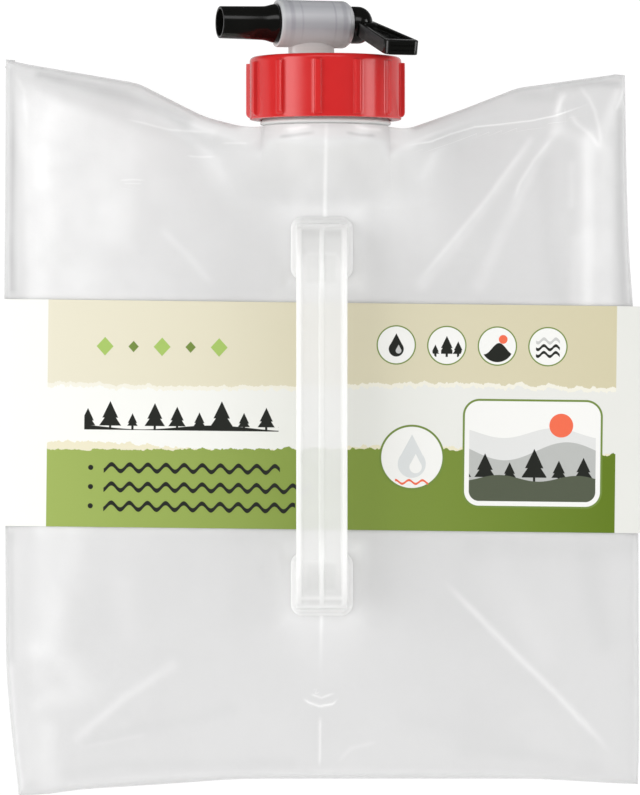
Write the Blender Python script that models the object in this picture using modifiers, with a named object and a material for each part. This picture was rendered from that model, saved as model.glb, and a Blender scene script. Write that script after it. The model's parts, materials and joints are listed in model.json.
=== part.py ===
"""Collapsible water carrier, folded flat on its back: film bag with a strap handle and paper sleeve,
threaded neck, ribbed screw cap and a lever tap.

Metres. +X is to the right and +Y towards the tap when one looks at the handle, and +Z comes out of
the handle's wall. The origin is the middle of the sleeve's rear panel, which lies on the floor.
"""

import math

import bmesh
import bpy
from mathutils import Matrix

# Clearances and the overrun of cutters
GAP = 0.0003
RUN_GAP = 0.0004
OVERRUN = 0.002
MERGE = 0.00002

# Sleeve of paper round the bag
PAPER = 0.0004
SLEEVE_HEIGHT = 0.0875
SLEEVE_STAND_OFF = 0.0012
SLEEVE_TURN_DEG = -0.67
SLEEVE_FOLD_DEPTH = 0.003
SLEEVE_BEND_R = 0.0013
BEND_ANGLES_DEG = (0, 30, 60, 90)

# Bag film
FILM = 0.0005
BAG_WIDTH = 0.243
BAG_HEIGHT = 0.280
BAG_THICKNESS = 0.0125
SHOULDER_GAP = 0.0013
FILM_COLLAR = 0.005
RIM_DROP = 0.0008

# Places along the sides, each with the side's reach as a share of half the bag's width
LEFT_EDGE_SHARES = (
    (0.0, -0.974),
    (0.045, -0.987),
    (0.105, -1.003),
    (0.175, -1.016),
    (0.65, -1.022),
    (1.0, -1.016),
)
RIGHT_EDGE_SHARES = (
    (0.0, 0.994),
    (0.061, 0.998),
    (0.351, 0.996),
    (0.669, 0.980),
    (0.744, 0.966),
    (0.821, 0.960),
    (1.0, 0.952),
)
# Places along the bottom from left to right, each with its reach as a share of half the height
BOTTOM_EDGE_SHARES = (
    (0.0, -1.048),
    (0.046, -1.045),
    (0.093, -1.031),
    (0.227, -1.017),
    (0.357, -1.001),
    (0.837, -1.001),
    (0.967, -1.014),
    (1.0, -1.016),
)
# Places from a top corner to the neck, each with its rise over the neck's foot, of half the height
TOP_LEFT_SHARES = (
    (0.0, 0.196),
    (0.04, 0.185),
    (0.514, 0.127),
    (0.773, 0.032),
    (0.933, 0.0),
    (1.0, 0.0),
)
TOP_RIGHT_SHARES = (
    (0.0, 0.146),
    (0.014, 0.154),
    (0.454, 0.114),
    (0.695, 0.051),
    (0.927, -0.006),
    (1.0, 0.0),
)
# Rows of the flat front wall, then of its shoulder, each as a share of that stretch
FLAT_ROW_SHARES = (0.0, 0.14, 0.28, 0.42, 0.56, 0.7, 0.84)
SHOULDER_ROW_SHARES = (0.0, 0.15, 0.3, 0.43, 0.56, 0.69, 0.84, 1.0)
NECK_FOOT_SHARE = 0.7914
SHOULDER_FALL_SHARE = 0.6
SIDE_COLUMNS = 5
ARCH_COLUMNS = 12

# Neck, on an axis along +Y
NECK_BORE_R = 0.0205
NECK_WALL = 0.003
NECK_DEPTH = 0.0045
NECK_RING_R = 0.0262
NECK_RING_HEIGHT = 0.0016
NECK_RIM_CHAMFER = 0.0006
ROUND_STEPS = 48

# Thread, right-handed
PITCH = 0.006
THREAD_TURNS = 1.5
BEAD_R = 0.0012
BEAD_PROUD = 0.0012
THREAD_REACH = 0.0005
TURN_POINTS = 32

# Cap ring
CAP_HEIGHT = 0.0239
CAP_R = 0.029
CAP_LIP = 0.0025
CAP_EDGE_R = 0.0016
CAP_FLOOR_GAP = 0.0009
CAP_FOOT_GAP = 0.0009
CAP_STEPS = 72
RIB_COUNT = 12
RIB_WIDTH = 0.0028
RIB_PROUD = 0.00145
RIB_TOP_DROP = 0.0023
RIB_FOOT_RISE = 0.0003
RIB_PHASE_DEG = -5.7

# Gasket
GASKET = 0.0015

# Tap body
TAP_TURN_DEG = 17.0
FLANGE = 0.002
FLANGE_LAND = 0.0042
DISC_DROP = 0.0008
BARREL_R = 0.009
BARREL_BORE_R = 0.007
BARREL_RISE = 0.0126
BARREL_TO_SPOUT = 0.0196
BARREL_TO_LEVER = 0.0096
BARREL_CHAMFER = 0.0018
BOSS_R = 0.0093
BOSS_OFFSET = -0.0057
WATERWAY_R = 0.0034
TAP_STEPS = 36

# Valve spindle with its spout
SPOUT_R = 0.0061
SPOUT_ROOT_R = 0.0064
SPOUT_WALL = 0.001
SPOUT_LENGTH = 0.0222
COLLAR_R = 0.00735
COLLAR_LENGTH = 0.0048
COLLAR_FLARE = 0.0036
PLUG_BORE_R = 0.004
PLUG_END = 0.004
PIN_R = 0.0034
PIN_LENGTH = 0.0042

# O-rings and their grooves
O_RING_R = 0.00065
O_RING_INSET = 0.0042
GROOVE_DEPTH = 0.0014
O_RING_STEPS = 32
O_RING_SIDES = 10

# Lever
HUB_R = 0.0071
HUB_LENGTH = 0.0086
HUB_SOCKET_DEPTH = 0.0047
HUB_DOME_SHARES = ((1.0, 0.0), (0.97, 0.45), (0.84, 0.72), (0.6, 0.91), (0.3, 0.985))
PADDLE_REACH = 0.0405
PADDLE_THICKNESS = 0.0054
PADDLE_ROOT_HALF = 0.0036
PADDLE_TIP_HALF = 0.0068
PADDLE_CANT_DEG = 7.0
PADDLE_CORNER = 0.0022
PADDLE_TILT_DEG = 16.0
PADDLE_ROOT_DIP = 0.003
RECESS_DEPTH = 0.0016
RECESS_RIM = 0.0012
RECESS_START = 0.012
RECESS_END = 0.0035

# Handle: a pad at each end and an arched strap between them
HANDLE_X = -0.0014
STRAP_WIDTH = 0.0195
STRAP_THICKNESS = 0.0045
FINGER_GAP = 0.024
PAD_WIDTH = 0.024
PAD_LENGTH = 0.0245
PAD_SPACING = 0.105
PAD_HEIGHT = 0.005
PAD_CORNER_R = 0.0035
PAD_EDGE = 0.001
CORNER_POINTS = 5
STRAP_END_INSET = 0.003
STRAP_OUTER_RUN = 0.025
STRAP_FOOT_LENGTH = 0.0125
STRAP_INNER_RUN = 0.013
# The strap's slopes, each place as a share of its run with the height there as a share of its rise
OUTER_SLOPE_SHARES = ((0.0, 0.0), (0.04, 0.3), (0.16, 0.6), (0.36, 0.82), (0.65, 0.96), (1.0, 1.0))
INNER_SLOPE_SHARES = ((0.0, 0.0), (0.1, 0.36), (0.3, 0.7), (0.62, 0.93), (1.0, 1.0))

# Worked out from the sizes above
HALF_WIDTH = BAG_WIDTH / 2
HALF_HEIGHT = BAG_HEIGHT / 2
REAR_Z = PAPER + GAP
FRONT_Z = REAR_Z + BAG_THICKNESS - FILM
SLEEVE_FRONT_Z = FRONT_Z + FILM + GAP
NECK_R = NECK_BORE_R + NECK_WALL
THREAD_R = NECK_R + BEAD_PROUD - BEAD_R
CAP_BORE_R = NECK_R + 2 * BEAD_PROUD - THREAD_REACH
CAP_THREAD_R = CAP_BORE_R - BEAD_PROUD + BEAD_R
NECK_Z = CAP_R + RIB_PROUD + CAP_FLOOR_GAP
NECK_Y = NECK_FOOT_SHARE * HALF_HEIGHT
SHOULDER_LENGTH = NECK_Y - FILM_COLLAR - PAD_SPACING / 2 - PAD_LENGTH - SHOULDER_GAP
CAP_Y = NECK_Y + NECK_RING_HEIGHT + CAP_FOOT_GAP
CAP_TOP_Y = CAP_Y + CAP_HEIGHT
FLANGE_TOP_Y = CAP_TOP_Y - CAP_LIP - GAP
GASKET_TOP_Y = FLANGE_TOP_Y - FLANGE - GAP
RIM_Y = GASKET_TOP_Y - GASKET - GAP
DISC_TOP_Y = CAP_TOP_Y - DISC_DROP
BARREL_Y = CAP_TOP_Y + BARREL_RISE
DISC_R = NECK_BORE_R - GAP
FLANGE_R = DISC_R + FLANGE_LAND
LIP_BORE_R = DISC_R + GAP
PLUG_R = BARREL_BORE_R - RUN_GAP
ARCH_R = NECK_R + GAP + FILM / 2


def clear_scene():
    for old in list(bpy.data.objects):
        bpy.data.objects.remove(old, do_unlink=True)


def collection(name):
    made = bpy.data.collections.new(name)
    bpy.context.scene.collection.children.link(made)
    return made


def material(name, colour, roughness, alpha=1.0):
    made = bpy.data.materials.new(name)
    made.use_nodes = True
    shader = made.node_tree.nodes["Principled BSDF"]
    shader.inputs["Base Color"].default_value = (*colour, 1.0)
    shader.inputs["Roughness"].default_value = roughness
    shader.inputs["Alpha"].default_value = alpha
    made.diffuse_color = (*colour, alpha)
    return made


def read(table, place):
    """The value at a place of a table of (place, value) pairs."""
    for (a, low), (b, high) in zip(table, table[1:]):
        if place <= b:
            return low + (high - low) * (place - a) / (b - a)
    return table[-1][1]


def ease(share):
    share = min(1.0, max(0.0, share))
    return share * share * (3 - 2 * share)


def put(mesh, name, where):
    made = bpy.data.objects.new(name, mesh)
    where.objects.link(made)
    return made


def from_bmesh(bm, name, where):
    bmesh.ops.recalc_face_normals(bm, faces=bm.faces)
    mesh = bpy.data.meshes.new(name)
    bm.to_mesh(mesh)
    bm.free()
    return put(mesh, name, where)


def as_cutter(obj):
    obj.hide_render = True
    obj.display_type = "WIRE"


def smooth(obj):
    obj.data.shade_smooth()
    obj.data.set_sharp_from_angle(angle=math.radians(35))


def turned(name, profile, steps, where):
    """A turned piece round its own Z axis; the profile goes down its outer side.

    A profile that starts and ends on the axis is left open there.
    """
    mesh = bpy.data.meshes.new(name)
    points = [(r, 0.0, z) for r, z in profile]
    count = len(points)
    edges = [(i, i + 1) for i in range(count - 1)]
    if profile[0][0] > 0:
        edges.append((count - 1, 0))
    mesh.from_pydata(points, edges, [])
    obj = put(mesh, name, where)
    screw = obj.modifiers.new("turn", "SCREW")
    screw.axis = "Z"
    screw.angle = math.tau
    screw.steps = steps
    screw.render_steps = steps
    screw.use_merge_vertices = True
    screw.merge_threshold = MERGE
    screw.use_smooth_shade = True
    return obj


def cylinder(name, radius, low, high, steps, where):
    """A cylinder round its own Z axis, from low to high on it."""
    bm = bmesh.new()
    bmesh.ops.create_cone(
        bm, cap_ends=True, segments=steps, radius1=radius, radius2=radius, depth=high - low
    )
    bmesh.ops.translate(bm, verts=bm.verts, vec=(0, 0, (low + high) / 2))
    return from_bmesh(bm, name, where)


def block(name, size, centre, where):
    bm = bmesh.new()
    bmesh.ops.create_cube(bm, size=1.0)
    bmesh.ops.scale(bm, verts=bm.verts, vec=size)
    bmesh.ops.translate(bm, verts=bm.verts, vec=centre)
    return from_bmesh(bm, name, where)


def prism(name, outline, height, where):
    """A flat outline in the XY plane, filled, with its height on both sides of Z = 0."""
    curve = bpy.data.curves.new(name, "CURVE")
    curve.dimensions = "2D"
    curve.fill_mode = "BOTH"
    curve.extrude = height / 2
    spline = curve.splines.new("POLY")
    spline.points.add(len(outline) - 1)
    for point, (x, y) in zip(spline.points, outline):
        point.co = (x, y, 0.0, 1.0)
    spline.use_cyclic_u = True
    return as_mesh(put(curve, name, where), where)


def as_mesh(obj, where):
    """A curve object made a mesh, with its caps welded to its sides."""
    graph = bpy.context.evaluated_depsgraph_get()
    mesh = bpy.data.meshes.new_from_object(obj.evaluated_get(graph))
    bm = bmesh.new()
    bm.from_mesh(mesh)
    bmesh.ops.remove_doubles(bm, verts=bm.verts, dist=MERGE)
    bmesh.ops.recalc_face_normals(bm, faces=bm.faces)
    bm.to_mesh(mesh)
    bm.free()
    name = obj.name
    matrix = obj.matrix_world.copy()
    bpy.data.objects.remove(obj, do_unlink=True)
    made = put(mesh, name, where)
    made.matrix_world = matrix
    return made


def helix(name, radius, bead_r, foot, where):
    """A round bead that climbs one pitch a turn, right-handed, round its own Z axis."""
    curve = bpy.data.curves.new(name, "CURVE")
    curve.dimensions = "3D"
    curve.bevel_depth = bead_r
    curve.bevel_resolution = 2
    curve.use_fill_caps = True
    count = round(THREAD_TURNS * TURN_POINTS) + 1
    spline = curve.splines.new("POLY")
    spline.points.add(count - 1)
    for i, point in enumerate(spline.points):
        turn = i / TURN_POINTS
        angle = math.tau * turn
        place = (radius * math.cos(angle), radius * math.sin(angle), foot + PITCH * turn)
        point.co = (*place, 1.0)
    return as_mesh(put(curve, name, where), where)


def combine(obj, other, operation):
    boolean = obj.modifiers.new(other.name, "BOOLEAN")
    boolean.operation = operation
    boolean.object = other
    boolean.solver = "EXACT"
    as_cutter(other)


def bevel(obj, width):
    rounding = obj.modifiers.new("edges", "BEVEL")
    rounding.width = width
    rounding.segments = 2
    rounding.limit_method = "ANGLE"
    rounding.angle_limit = math.radians(40)


def thicken(obj, thickness, offset=0.0):
    shell = obj.modifiers.new("film", "SOLIDIFY")
    shell.thickness = thickness
    shell.offset = offset
    shell.use_even_offset = True


def guide(name, location, rotation, where):
    empty = bpy.data.objects.new(name, None)
    empty.location = location
    empty.rotation_euler = rotation
    where.objects.link(empty)
    return empty


# The bag's outline and its front wall


def side_x(table, place):
    return read(table, place) * HALF_WIDTH


def neck_side_x(side):
    return side * ARCH_R


def column_tops():
    """The columns' places on the top edge: x, y, and, round the neck, the angle from its top."""
    columns = []
    left = side_x(LEFT_EDGE_SHARES, 1.0)
    right = side_x(RIGHT_EDGE_SHARES, 1.0)
    for i in range(SIDE_COLUMNS):
        place = i / SIDE_COLUMNS
        x = left + (neck_side_x(-1) - left) * place
        columns.append((x, NECK_Y + read(TOP_LEFT_SHARES, place) * HALF_HEIGHT, None))
    for i in range(ARCH_COLUMNS + 1):
        angle = math.pi * (i / ARCH_COLUMNS - 0.5)
        columns.append((ARCH_R * math.sin(angle), NECK_Y, angle))
    for i in range(SIDE_COLUMNS - 1, -1, -1):
        place = i / SIDE_COLUMNS
        x = right + (neck_side_x(1) - right) * place
        columns.append((x, NECK_Y + read(TOP_RIGHT_SHARES, place) * HALF_HEIGHT, None))
    return columns


TOPS = column_tops()
COLUMNS = len(TOPS)


def lift_at_top(column):
    """How far the film's middle stands above the flat front wall, at a column's top."""
    x, _, angle = TOPS[column]
    flat = FRONT_Z + FILM / 2
    if angle is not None:
        return NECK_Z + ARCH_R * math.cos(angle) - flat
    end = TOPS[0][0] if x < 0 else TOPS[-1][0]
    away = (abs(x) - ARCH_R) / (abs(end) - ARCH_R)
    fall = max(0.0, 1.0 - away / SHOULDER_FALL_SHARE)
    return (NECK_Z - flat) * fall * fall


def bag_point(column, row_share):
    """A point of the bag's face, flat: x and y."""
    left = side_x(LEFT_EDGE_SHARES, row_share)
    right = side_x(RIGHT_EDGE_SHARES, row_share)
    top_left = side_x(LEFT_EDGE_SHARES, 1.0)
    top_right = side_x(RIGHT_EDGE_SHARES, 1.0)
    top_x, top_y, _ = TOPS[column]
    bottom_place = column / (COLUMNS - 1)
    top_place = (top_x - top_left) / (top_right - top_left)
    place = bottom_place + (top_place - bottom_place) * row_share
    low = read(BOTTOM_EDGE_SHARES, bottom_place) * HALF_HEIGHT
    return left + (right - left) * place, low + (top_y - low) * row_share


def front_lift(column, y):
    below = TOPS[column][1] - y
    share = 1.0 - (below - FILM_COLLAR) / SHOULDER_LENGTH
    return lift_at_top(column) * ease(share)


def row_shares():
    """The rows' places up the bag, as shares of the height of the neck's columns."""
    flat = 1.0 - (FILM_COLLAR + SHOULDER_LENGTH) / (NECK_Y + HALF_HEIGHT)
    rows = [flat * share for share in FLAT_ROW_SHARES]
    return rows + [flat + (1.0 - flat) * share for share in SHOULDER_ROW_SHARES]


def border():
    """The outline's stations (column, row share), anticlockwise from the bottom left."""
    rows = row_shares()
    stations = [(c, 0.0) for c in range(COLUMNS)]
    stations += [(COLUMNS - 1, share) for share in rows[1:]]
    stations += [(c, 1.0) for c in range(COLUMNS - 2, -1, -1)]
    stations += [(0, share) for share in reversed(rows[1:-1])]
    return stations


def make_front_wall(where):
    rows = row_shares()
    steps = len(rows) - 1
    bm = bmesh.new()
    bmesh.ops.create_grid(bm, x_segments=COLUMNS - 1, y_segments=steps, size=1.0)
    for vert in bm.verts:
        column = round((vert.co.x + 1) / 2 * (COLUMNS - 1))
        row = round((vert.co.y + 1) / 2 * steps)
        x, y = bag_point(column, rows[row])
        vert.co = (x, y, FRONT_Z + FILM / 2 + front_lift(column, y))
    wall = from_bmesh(bm, "bag_front_wall", where)
    thicken(wall, FILM)
    smooth(wall)
    return wall


def make_rear_wall(where):
    outline = [bag_point(column, share) for column, share in border()]
    wall = prism("bag_rear_wall", outline, FILM, where)
    wall.location.z = REAR_Z + FILM / 2
    return wall


def gusset_top(column, row_share):
    """The height where a side wall ends, under the front wall or under the neck."""
    x, y = bag_point(column, row_share)
    angle = TOPS[column][2]
    if row_share == 1.0 and angle is not None:
        reach = ARCH_R + RIM_DROP
        return NECK_Z - math.sqrt(max(0.0, reach * reach - x * x)) - RIM_DROP
    return FRONT_Z + front_lift(column, y) - RIM_DROP


def make_gusset(where):
    """The side walls between the rear and the front wall, as one band round the bag."""
    stations = border()
    count = len(stations)
    foot = REAR_Z + FILM + GAP
    bm = bmesh.new()
    bmesh.ops.create_cone(bm, cap_ends=False, segments=count, radius1=1.0, radius2=1.0, depth=2.0)
    for vert in bm.verts:
        turn = math.atan2(vert.co.y, vert.co.x) / math.tau
        column, share = stations[round(turn * count) % count]
        x, y = bag_point(column, share)
        z = gusset_top(column, share) if vert.co.z > 0 else foot
        vert.co = (x, y, z)
    band = from_bmesh(bm, "bag_gusset", where)
    thicken(band, FILM, -1.0)
    return band


# Neck and cap, turned round +Y


def along_y(obj, y):
    obj.rotation_euler = (-math.pi / 2, 0, 0)
    obj.location = (0, y, NECK_Z)


def thread_foot():
    return (RIM_Y - CAP_Y - PITCH * THREAD_TURNS) / 2


def make_neck(where, cutters):
    low = -NECK_DEPTH
    rim = RIM_Y - NECK_Y
    profile = (
        (NECK_R - NECK_RIM_CHAMFER, rim),
        (NECK_R, rim - NECK_RIM_CHAMFER),
        (NECK_R, NECK_RING_HEIGHT),
        (NECK_RING_R, NECK_RING_HEIGHT),
        (NECK_RING_R, GAP + FILM),
        (NECK_R, GAP),
        (NECK_R, low),
        (NECK_BORE_R, low),
        (NECK_BORE_R, rim),
    )
    neck = turned("neck", profile, ROUND_STEPS, where)
    along_y(neck, NECK_Y)
    bead = helix("neck_thread", THREAD_R, BEAD_R, thread_foot() + PITCH / 2, cutters)
    along_y(bead, CAP_Y)
    combine(neck, bead, "UNION")
    return neck


def make_cap_ring(where, cutters):
    top = CAP_HEIGHT
    under = CAP_HEIGHT - CAP_LIP
    edge = CAP_EDGE_R
    corner = [
        (CAP_R - edge + edge * math.sin(a), top - edge + edge * math.cos(a))
        for a in (math.radians(d) for d in (0, 30, 60, 90))
    ]
    profile = (
        *corner,
        (CAP_R, 0),
        (CAP_BORE_R, 0),
        (CAP_BORE_R, under),
        (LIP_BORE_R, under),
        (LIP_BORE_R, top),
    )
    ring = turned("cap_ring", profile, CAP_STEPS, where)
    along_y(ring, CAP_Y)
    bm = bmesh.new()
    rib_height = CAP_HEIGHT - RIB_TOP_DROP - RIB_FOOT_RISE
    rib_depth = RIB_PROUD + CAP_EDGE_R
    for i in range(RIB_COUNT):
        angle = math.radians(RIB_PHASE_DEG) + math.tau * i / RIB_COUNT
        centre = (CAP_R + RIB_PROUD - rib_depth / 2, 0, RIB_FOOT_RISE + rib_height / 2)
        place = Matrix.Rotation(angle, 4, "Z") @ Matrix.Translation(centre)
        size = Matrix.Diagonal((rib_depth, RIB_WIDTH, rib_height, 1.0))
        bmesh.ops.create_cube(bm, size=1.0, matrix=place @ size)
    ribs = from_bmesh(bm, "cap_ribs", cutters)
    along_y(ribs, CAP_Y)
    combine(ring, ribs, "UNION")
    bead = helix("cap_thread", CAP_THREAD_R, BEAD_R, thread_foot(), cutters)
    along_y(bead, CAP_Y)
    combine(ring, bead, "UNION")
    return ring


def make_gasket(where):
    profile = (
        (NECK_R, GASKET),
        (NECK_R, 0),
        (NECK_BORE_R, 0),
        (NECK_BORE_R, GASKET),
    )
    gasket = turned("cap_gasket", profile, ROUND_STEPS, where)
    along_y(gasket, GASKET_TOP_Y - GASKET)
    return gasket


# Tap, built along its own barrel: +X towards the lever, +Y away from the cap


def along_barrel(obj, frame):
    obj.parent = frame
    obj.rotation_euler = (0, math.pi / 2, 0)


def make_tap_body(where, cutters, frame):
    """Disc and flange under the cap ring, boss, and the cross barrel with its bore."""
    foot_y = FLANGE_TOP_Y - FLANGE - BARREL_Y
    disc = (
        (0, DISC_TOP_Y - BARREL_Y - foot_y),
        (DISC_R, DISC_TOP_Y - BARREL_Y - foot_y),
        (DISC_R, FLANGE),
        (FLANGE_R, FLANGE),
        (FLANGE_R, 0),
        (0, 0),
    )
    body = turned("tap_body", disc, ROUND_STEPS, where)
    body.parent = frame
    body.rotation_euler = (-math.pi / 2, 0, 0)
    body.location.y = foot_y
    boss = cylinder("boss", BOSS_R, FLANGE / 2, -foot_y, TAP_STEPS, cutters)
    boss.parent = frame
    boss.rotation_euler = (-math.pi / 2, 0, 0)
    boss.location = (BOSS_OFFSET, foot_y, 0)
    combine(body, boss, "UNION")
    profile = (
        (0, BARREL_TO_LEVER),
        (BARREL_R - BARREL_CHAMFER, BARREL_TO_LEVER),
        (BARREL_R, BARREL_TO_LEVER - BARREL_CHAMFER),
        (BARREL_R, -BARREL_TO_SPOUT),
        (0, -BARREL_TO_SPOUT),
    )
    barrel = turned("barrel", profile, TAP_STEPS, cutters)
    along_barrel(barrel, frame)
    combine(body, barrel, "UNION")
    drop = OVERRUN - foot_y
    waterway = cylinder("waterway", WATERWAY_R, BARREL_BORE_R / 2, drop, TAP_STEPS // 2, cutters)
    waterway.parent = frame
    waterway.rotation_euler = (math.pi / 2, 0, 0)
    waterway.location.x = BOSS_OFFSET
    combine(body, waterway, "DIFFERENCE")
    bore_low = -BARREL_TO_SPOUT - OVERRUN
    bore_high = BARREL_TO_LEVER + OVERRUN
    bore = cylinder("barrel_bore", BARREL_BORE_R, bore_low, bore_high, TAP_STEPS, cutters)
    along_barrel(bore, frame)
    combine(body, bore, "DIFFERENCE")
    return body


def groove(profile_x):
    """A groove's four corners, from the lever's side to the spout's."""
    half = O_RING_R + GAP
    floor = PLUG_R - GROOVE_DEPTH
    return (
        (PLUG_R, profile_x + half),
        (floor, profile_x + half),
        (floor, profile_x - half),
        (PLUG_R, profile_x - half),
    )


def o_ring_places():
    return (BARREL_TO_LEVER - O_RING_INSET, -BARREL_TO_SPOUT + O_RING_INSET)


def make_spindle(where, cutters, frame):
    lever_ring, spout_ring = o_ring_places()
    shoulder = BARREL_TO_LEVER
    collar = -BARREL_TO_SPOUT - GAP
    collar_end = collar - COLLAR_LENGTH
    tip = collar - SPOUT_LENGTH
    profile = (
        (0, shoulder + PIN_LENGTH),
        (PIN_R, shoulder + PIN_LENGTH),
        (PIN_R, shoulder),
        (PLUG_R, shoulder),
        *groove(lever_ring),
        *groove(spout_ring),
        (PLUG_R, collar),
        (COLLAR_R, collar),
        (COLLAR_R, collar_end + COLLAR_FLARE),
        (SPOUT_ROOT_R, collar_end),
        (SPOUT_R, tip),
        (SPOUT_R - SPOUT_WALL, tip),
        (SPOUT_R - SPOUT_WALL, collar_end),
        (PLUG_BORE_R, collar),
        (PLUG_BORE_R, shoulder - PLUG_END),
        (0, shoulder - PLUG_END),
    )
    spindle = turned("valve_spindle", profile, TAP_STEPS, where)
    along_barrel(spindle, frame)
    port = cylinder("port", WATERWAY_R, 0, PLUG_R + OVERRUN, TAP_STEPS // 2, cutters)
    port.parent = frame
    port.rotation_euler = (math.pi, 0, 0)
    port.location.x = BOSS_OFFSET
    combine(spindle, port, "DIFFERENCE")
    return spindle


def make_o_ring(name, x, where, frame):
    major = PLUG_R - GROOVE_DEPTH + GAP + O_RING_R
    profile = [
        (
            major + O_RING_R * math.sin(math.tau * i / O_RING_SIDES),
            O_RING_R * math.cos(math.tau * i / O_RING_SIDES),
        )
        for i in range(O_RING_SIDES)
    ]
    ring = turned(name, profile, O_RING_STEPS, where)
    along_barrel(ring, frame)
    ring.location.x = x
    return ring


def canted(points):
    cant = math.tan(math.radians(PADDLE_CANT_DEG))
    return [(x + cant * y, y) for x, y in points]


def paddle_outline():
    """The paddle's tapered outline along +Y, with its tip's corners cut."""
    start = PIN_R + PADDLE_ROOT_DIP
    shoulder = PADDLE_REACH - PADDLE_CORNER
    tip_half = PADDLE_TIP_HALF - PADDLE_CORNER / 2
    return canted((
        (-PADDLE_ROOT_HALF, start),
        (PADDLE_ROOT_HALF, start),
        (PADDLE_TIP_HALF, shoulder),
        (tip_half, PADDLE_REACH),
        (-tip_half, PADDLE_REACH),
        (-PADDLE_TIP_HALF, shoulder),
    ))


def recess_outline():
    """The outline of the hollow in the paddle's upper face, inside its rim."""
    grow = (PADDLE_TIP_HALF - PADDLE_ROOT_HALF) / PADDLE_REACH
    start_half = PADDLE_ROOT_HALF + grow * RECESS_START - RECESS_RIM
    end_half = PADDLE_TIP_HALF - RECESS_RIM
    end = PADDLE_REACH - RECESS_END
    return canted((
        (-start_half, RECESS_START),
        (start_half, RECESS_START),
        (end_half, end),
        (-end_half, end),
    ))


def make_lever(where, cutters, frame):
    start = BARREL_TO_LEVER + GAP
    dome = [(HUB_R * a, start + HUB_LENGTH * b) for a, b in reversed(HUB_DOME_SHARES)]
    profile = (
        (0, start + HUB_LENGTH),
        *dome,
        (PIN_R + GAP, start),
        (PIN_R + GAP, start + HUB_SOCKET_DEPTH),
        (0, start + HUB_SOCKET_DEPTH),
    )
    lever = turned("lever", profile, TAP_STEPS, where)
    along_barrel(lever, frame)
    tilt = math.radians(PADDLE_TILT_DEG)
    lean = (math.pi / 2 + tilt, 0, 0)
    root_x = start + PADDLE_ROOT_HALF
    paddle = prism("paddle", paddle_outline(), PADDLE_THICKNESS, cutters)
    paddle.parent = frame
    paddle.rotation_euler = lean
    paddle.location = (root_x, 0, 0)
    combine(lever, paddle, "UNION")
    recess = prism("paddle_recess", recess_outline(), 2 * RECESS_DEPTH, cutters)
    recess.parent = frame
    recess.rotation_euler = lean
    side = PADDLE_THICKNESS / 2
    recess.location = (root_x, side * math.cos(tilt), side * math.sin(tilt))
    combine(lever, recess, "DIFFERENCE")
    return lever


# Handle


def strap_low_z():
    return SLEEVE_FRONT_Z + PAPER + FINGER_GAP


def rounded_rectangle(width, length, radius):
    """An outline round the origin, anticlockwise, with arcs at its corners."""
    points = []
    for corner, (side_x_sign, side_y_sign) in enumerate(((1, 1), (-1, 1), (-1, -1), (1, -1))):
        x = side_x_sign * (width / 2 - radius)
        y = side_y_sign * (length / 2 - radius)
        for i in range(CORNER_POINTS):
            angle = math.pi / 2 * (corner + i / (CORNER_POINTS - 1))
            points.append((x + radius * math.cos(angle), y + radius * math.sin(angle)))
    return points


def make_pad(name, side, where):
    """A pad moulded on the front wall, under one end of the strap."""
    outline = rounded_rectangle(PAD_WIDTH, PAD_LENGTH, PAD_CORNER_R)
    pad = prism(name, outline, PAD_HEIGHT, where)
    y = side * (PAD_SPACING + PAD_LENGTH) / 2
    pad.location = (HANDLE_X, y, FRONT_Z + FILM + GAP + PAD_HEIGHT / 2)
    bevel(pad, PAD_EDGE)
    return pad


def make_strap(where):
    """The strap's side outline, extruded across; its feet stand on the pads."""
    foot = FRONT_Z + FILM + GAP + PAD_HEIGHT + GAP
    under = strap_low_z()
    end = PAD_SPACING / 2 + PAD_LENGTH - STRAP_END_INSET
    inner = end - STRAP_FOOT_LENGTH
    rise = under + STRAP_THICKNESS - foot
    outer_slope = [(end - STRAP_OUTER_RUN * a, foot + rise * b) for a, b in OUTER_SLOPE_SHARES]
    inner_slope = [
        (inner - STRAP_INNER_RUN * a, foot + (under - foot) * b) for a, b in INNER_SLOPE_SHARES
    ]
    half = inner_slope[::-1] + outer_slope
    outline = half + [(-y, z) for y, z in reversed(half)]
    strap = prism("handle_strap", outline, STRAP_WIDTH, where)
    strap.rotation_euler = (math.pi / 2, 0, math.pi / 2)
    strap.location.x = HANDLE_X
    return strap


# Sleeve


def sleeve_sides():
    """The sleeve's outer x on the left and on the right."""
    reach = SLEEVE_HEIGHT / 2
    places = [(y + HALF_HEIGHT) / BAG_HEIGHT for y in (-reach, 0, reach)]
    left = min(side_x(LEFT_EDGE_SHARES, p) for p in places)
    right = max(side_x(RIGHT_EDGE_SHARES, p) for p in places)
    return left - SLEEVE_STAND_OFF - PAPER, right + SLEEVE_STAND_OFF + PAPER


def fold_path(outer, inward, inset):
    """A fold's side outline at an inset from its outer face, from its top to its foot."""
    top = SLEEVE_FRONT_Z + PAPER
    radius = SLEEVE_BEND_R - inset
    x = outer + inward * SLEEVE_BEND_R
    bends = [(radius * math.cos(a), radius * math.sin(a)) for a in map(math.radians, BEND_ANGLES_DEG)]
    path = [(outer + inward * SLEEVE_FOLD_DEPTH, top - inset)]
    path += [(x - inward * b, top - SLEEVE_BEND_R + a) for a, b in bends]
    path += [(x - inward * a, SLEEVE_BEND_R - b) for a, b in bends]
    path.append((outer + inward * SLEEVE_FOLD_DEPTH, inset))
    return path


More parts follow.
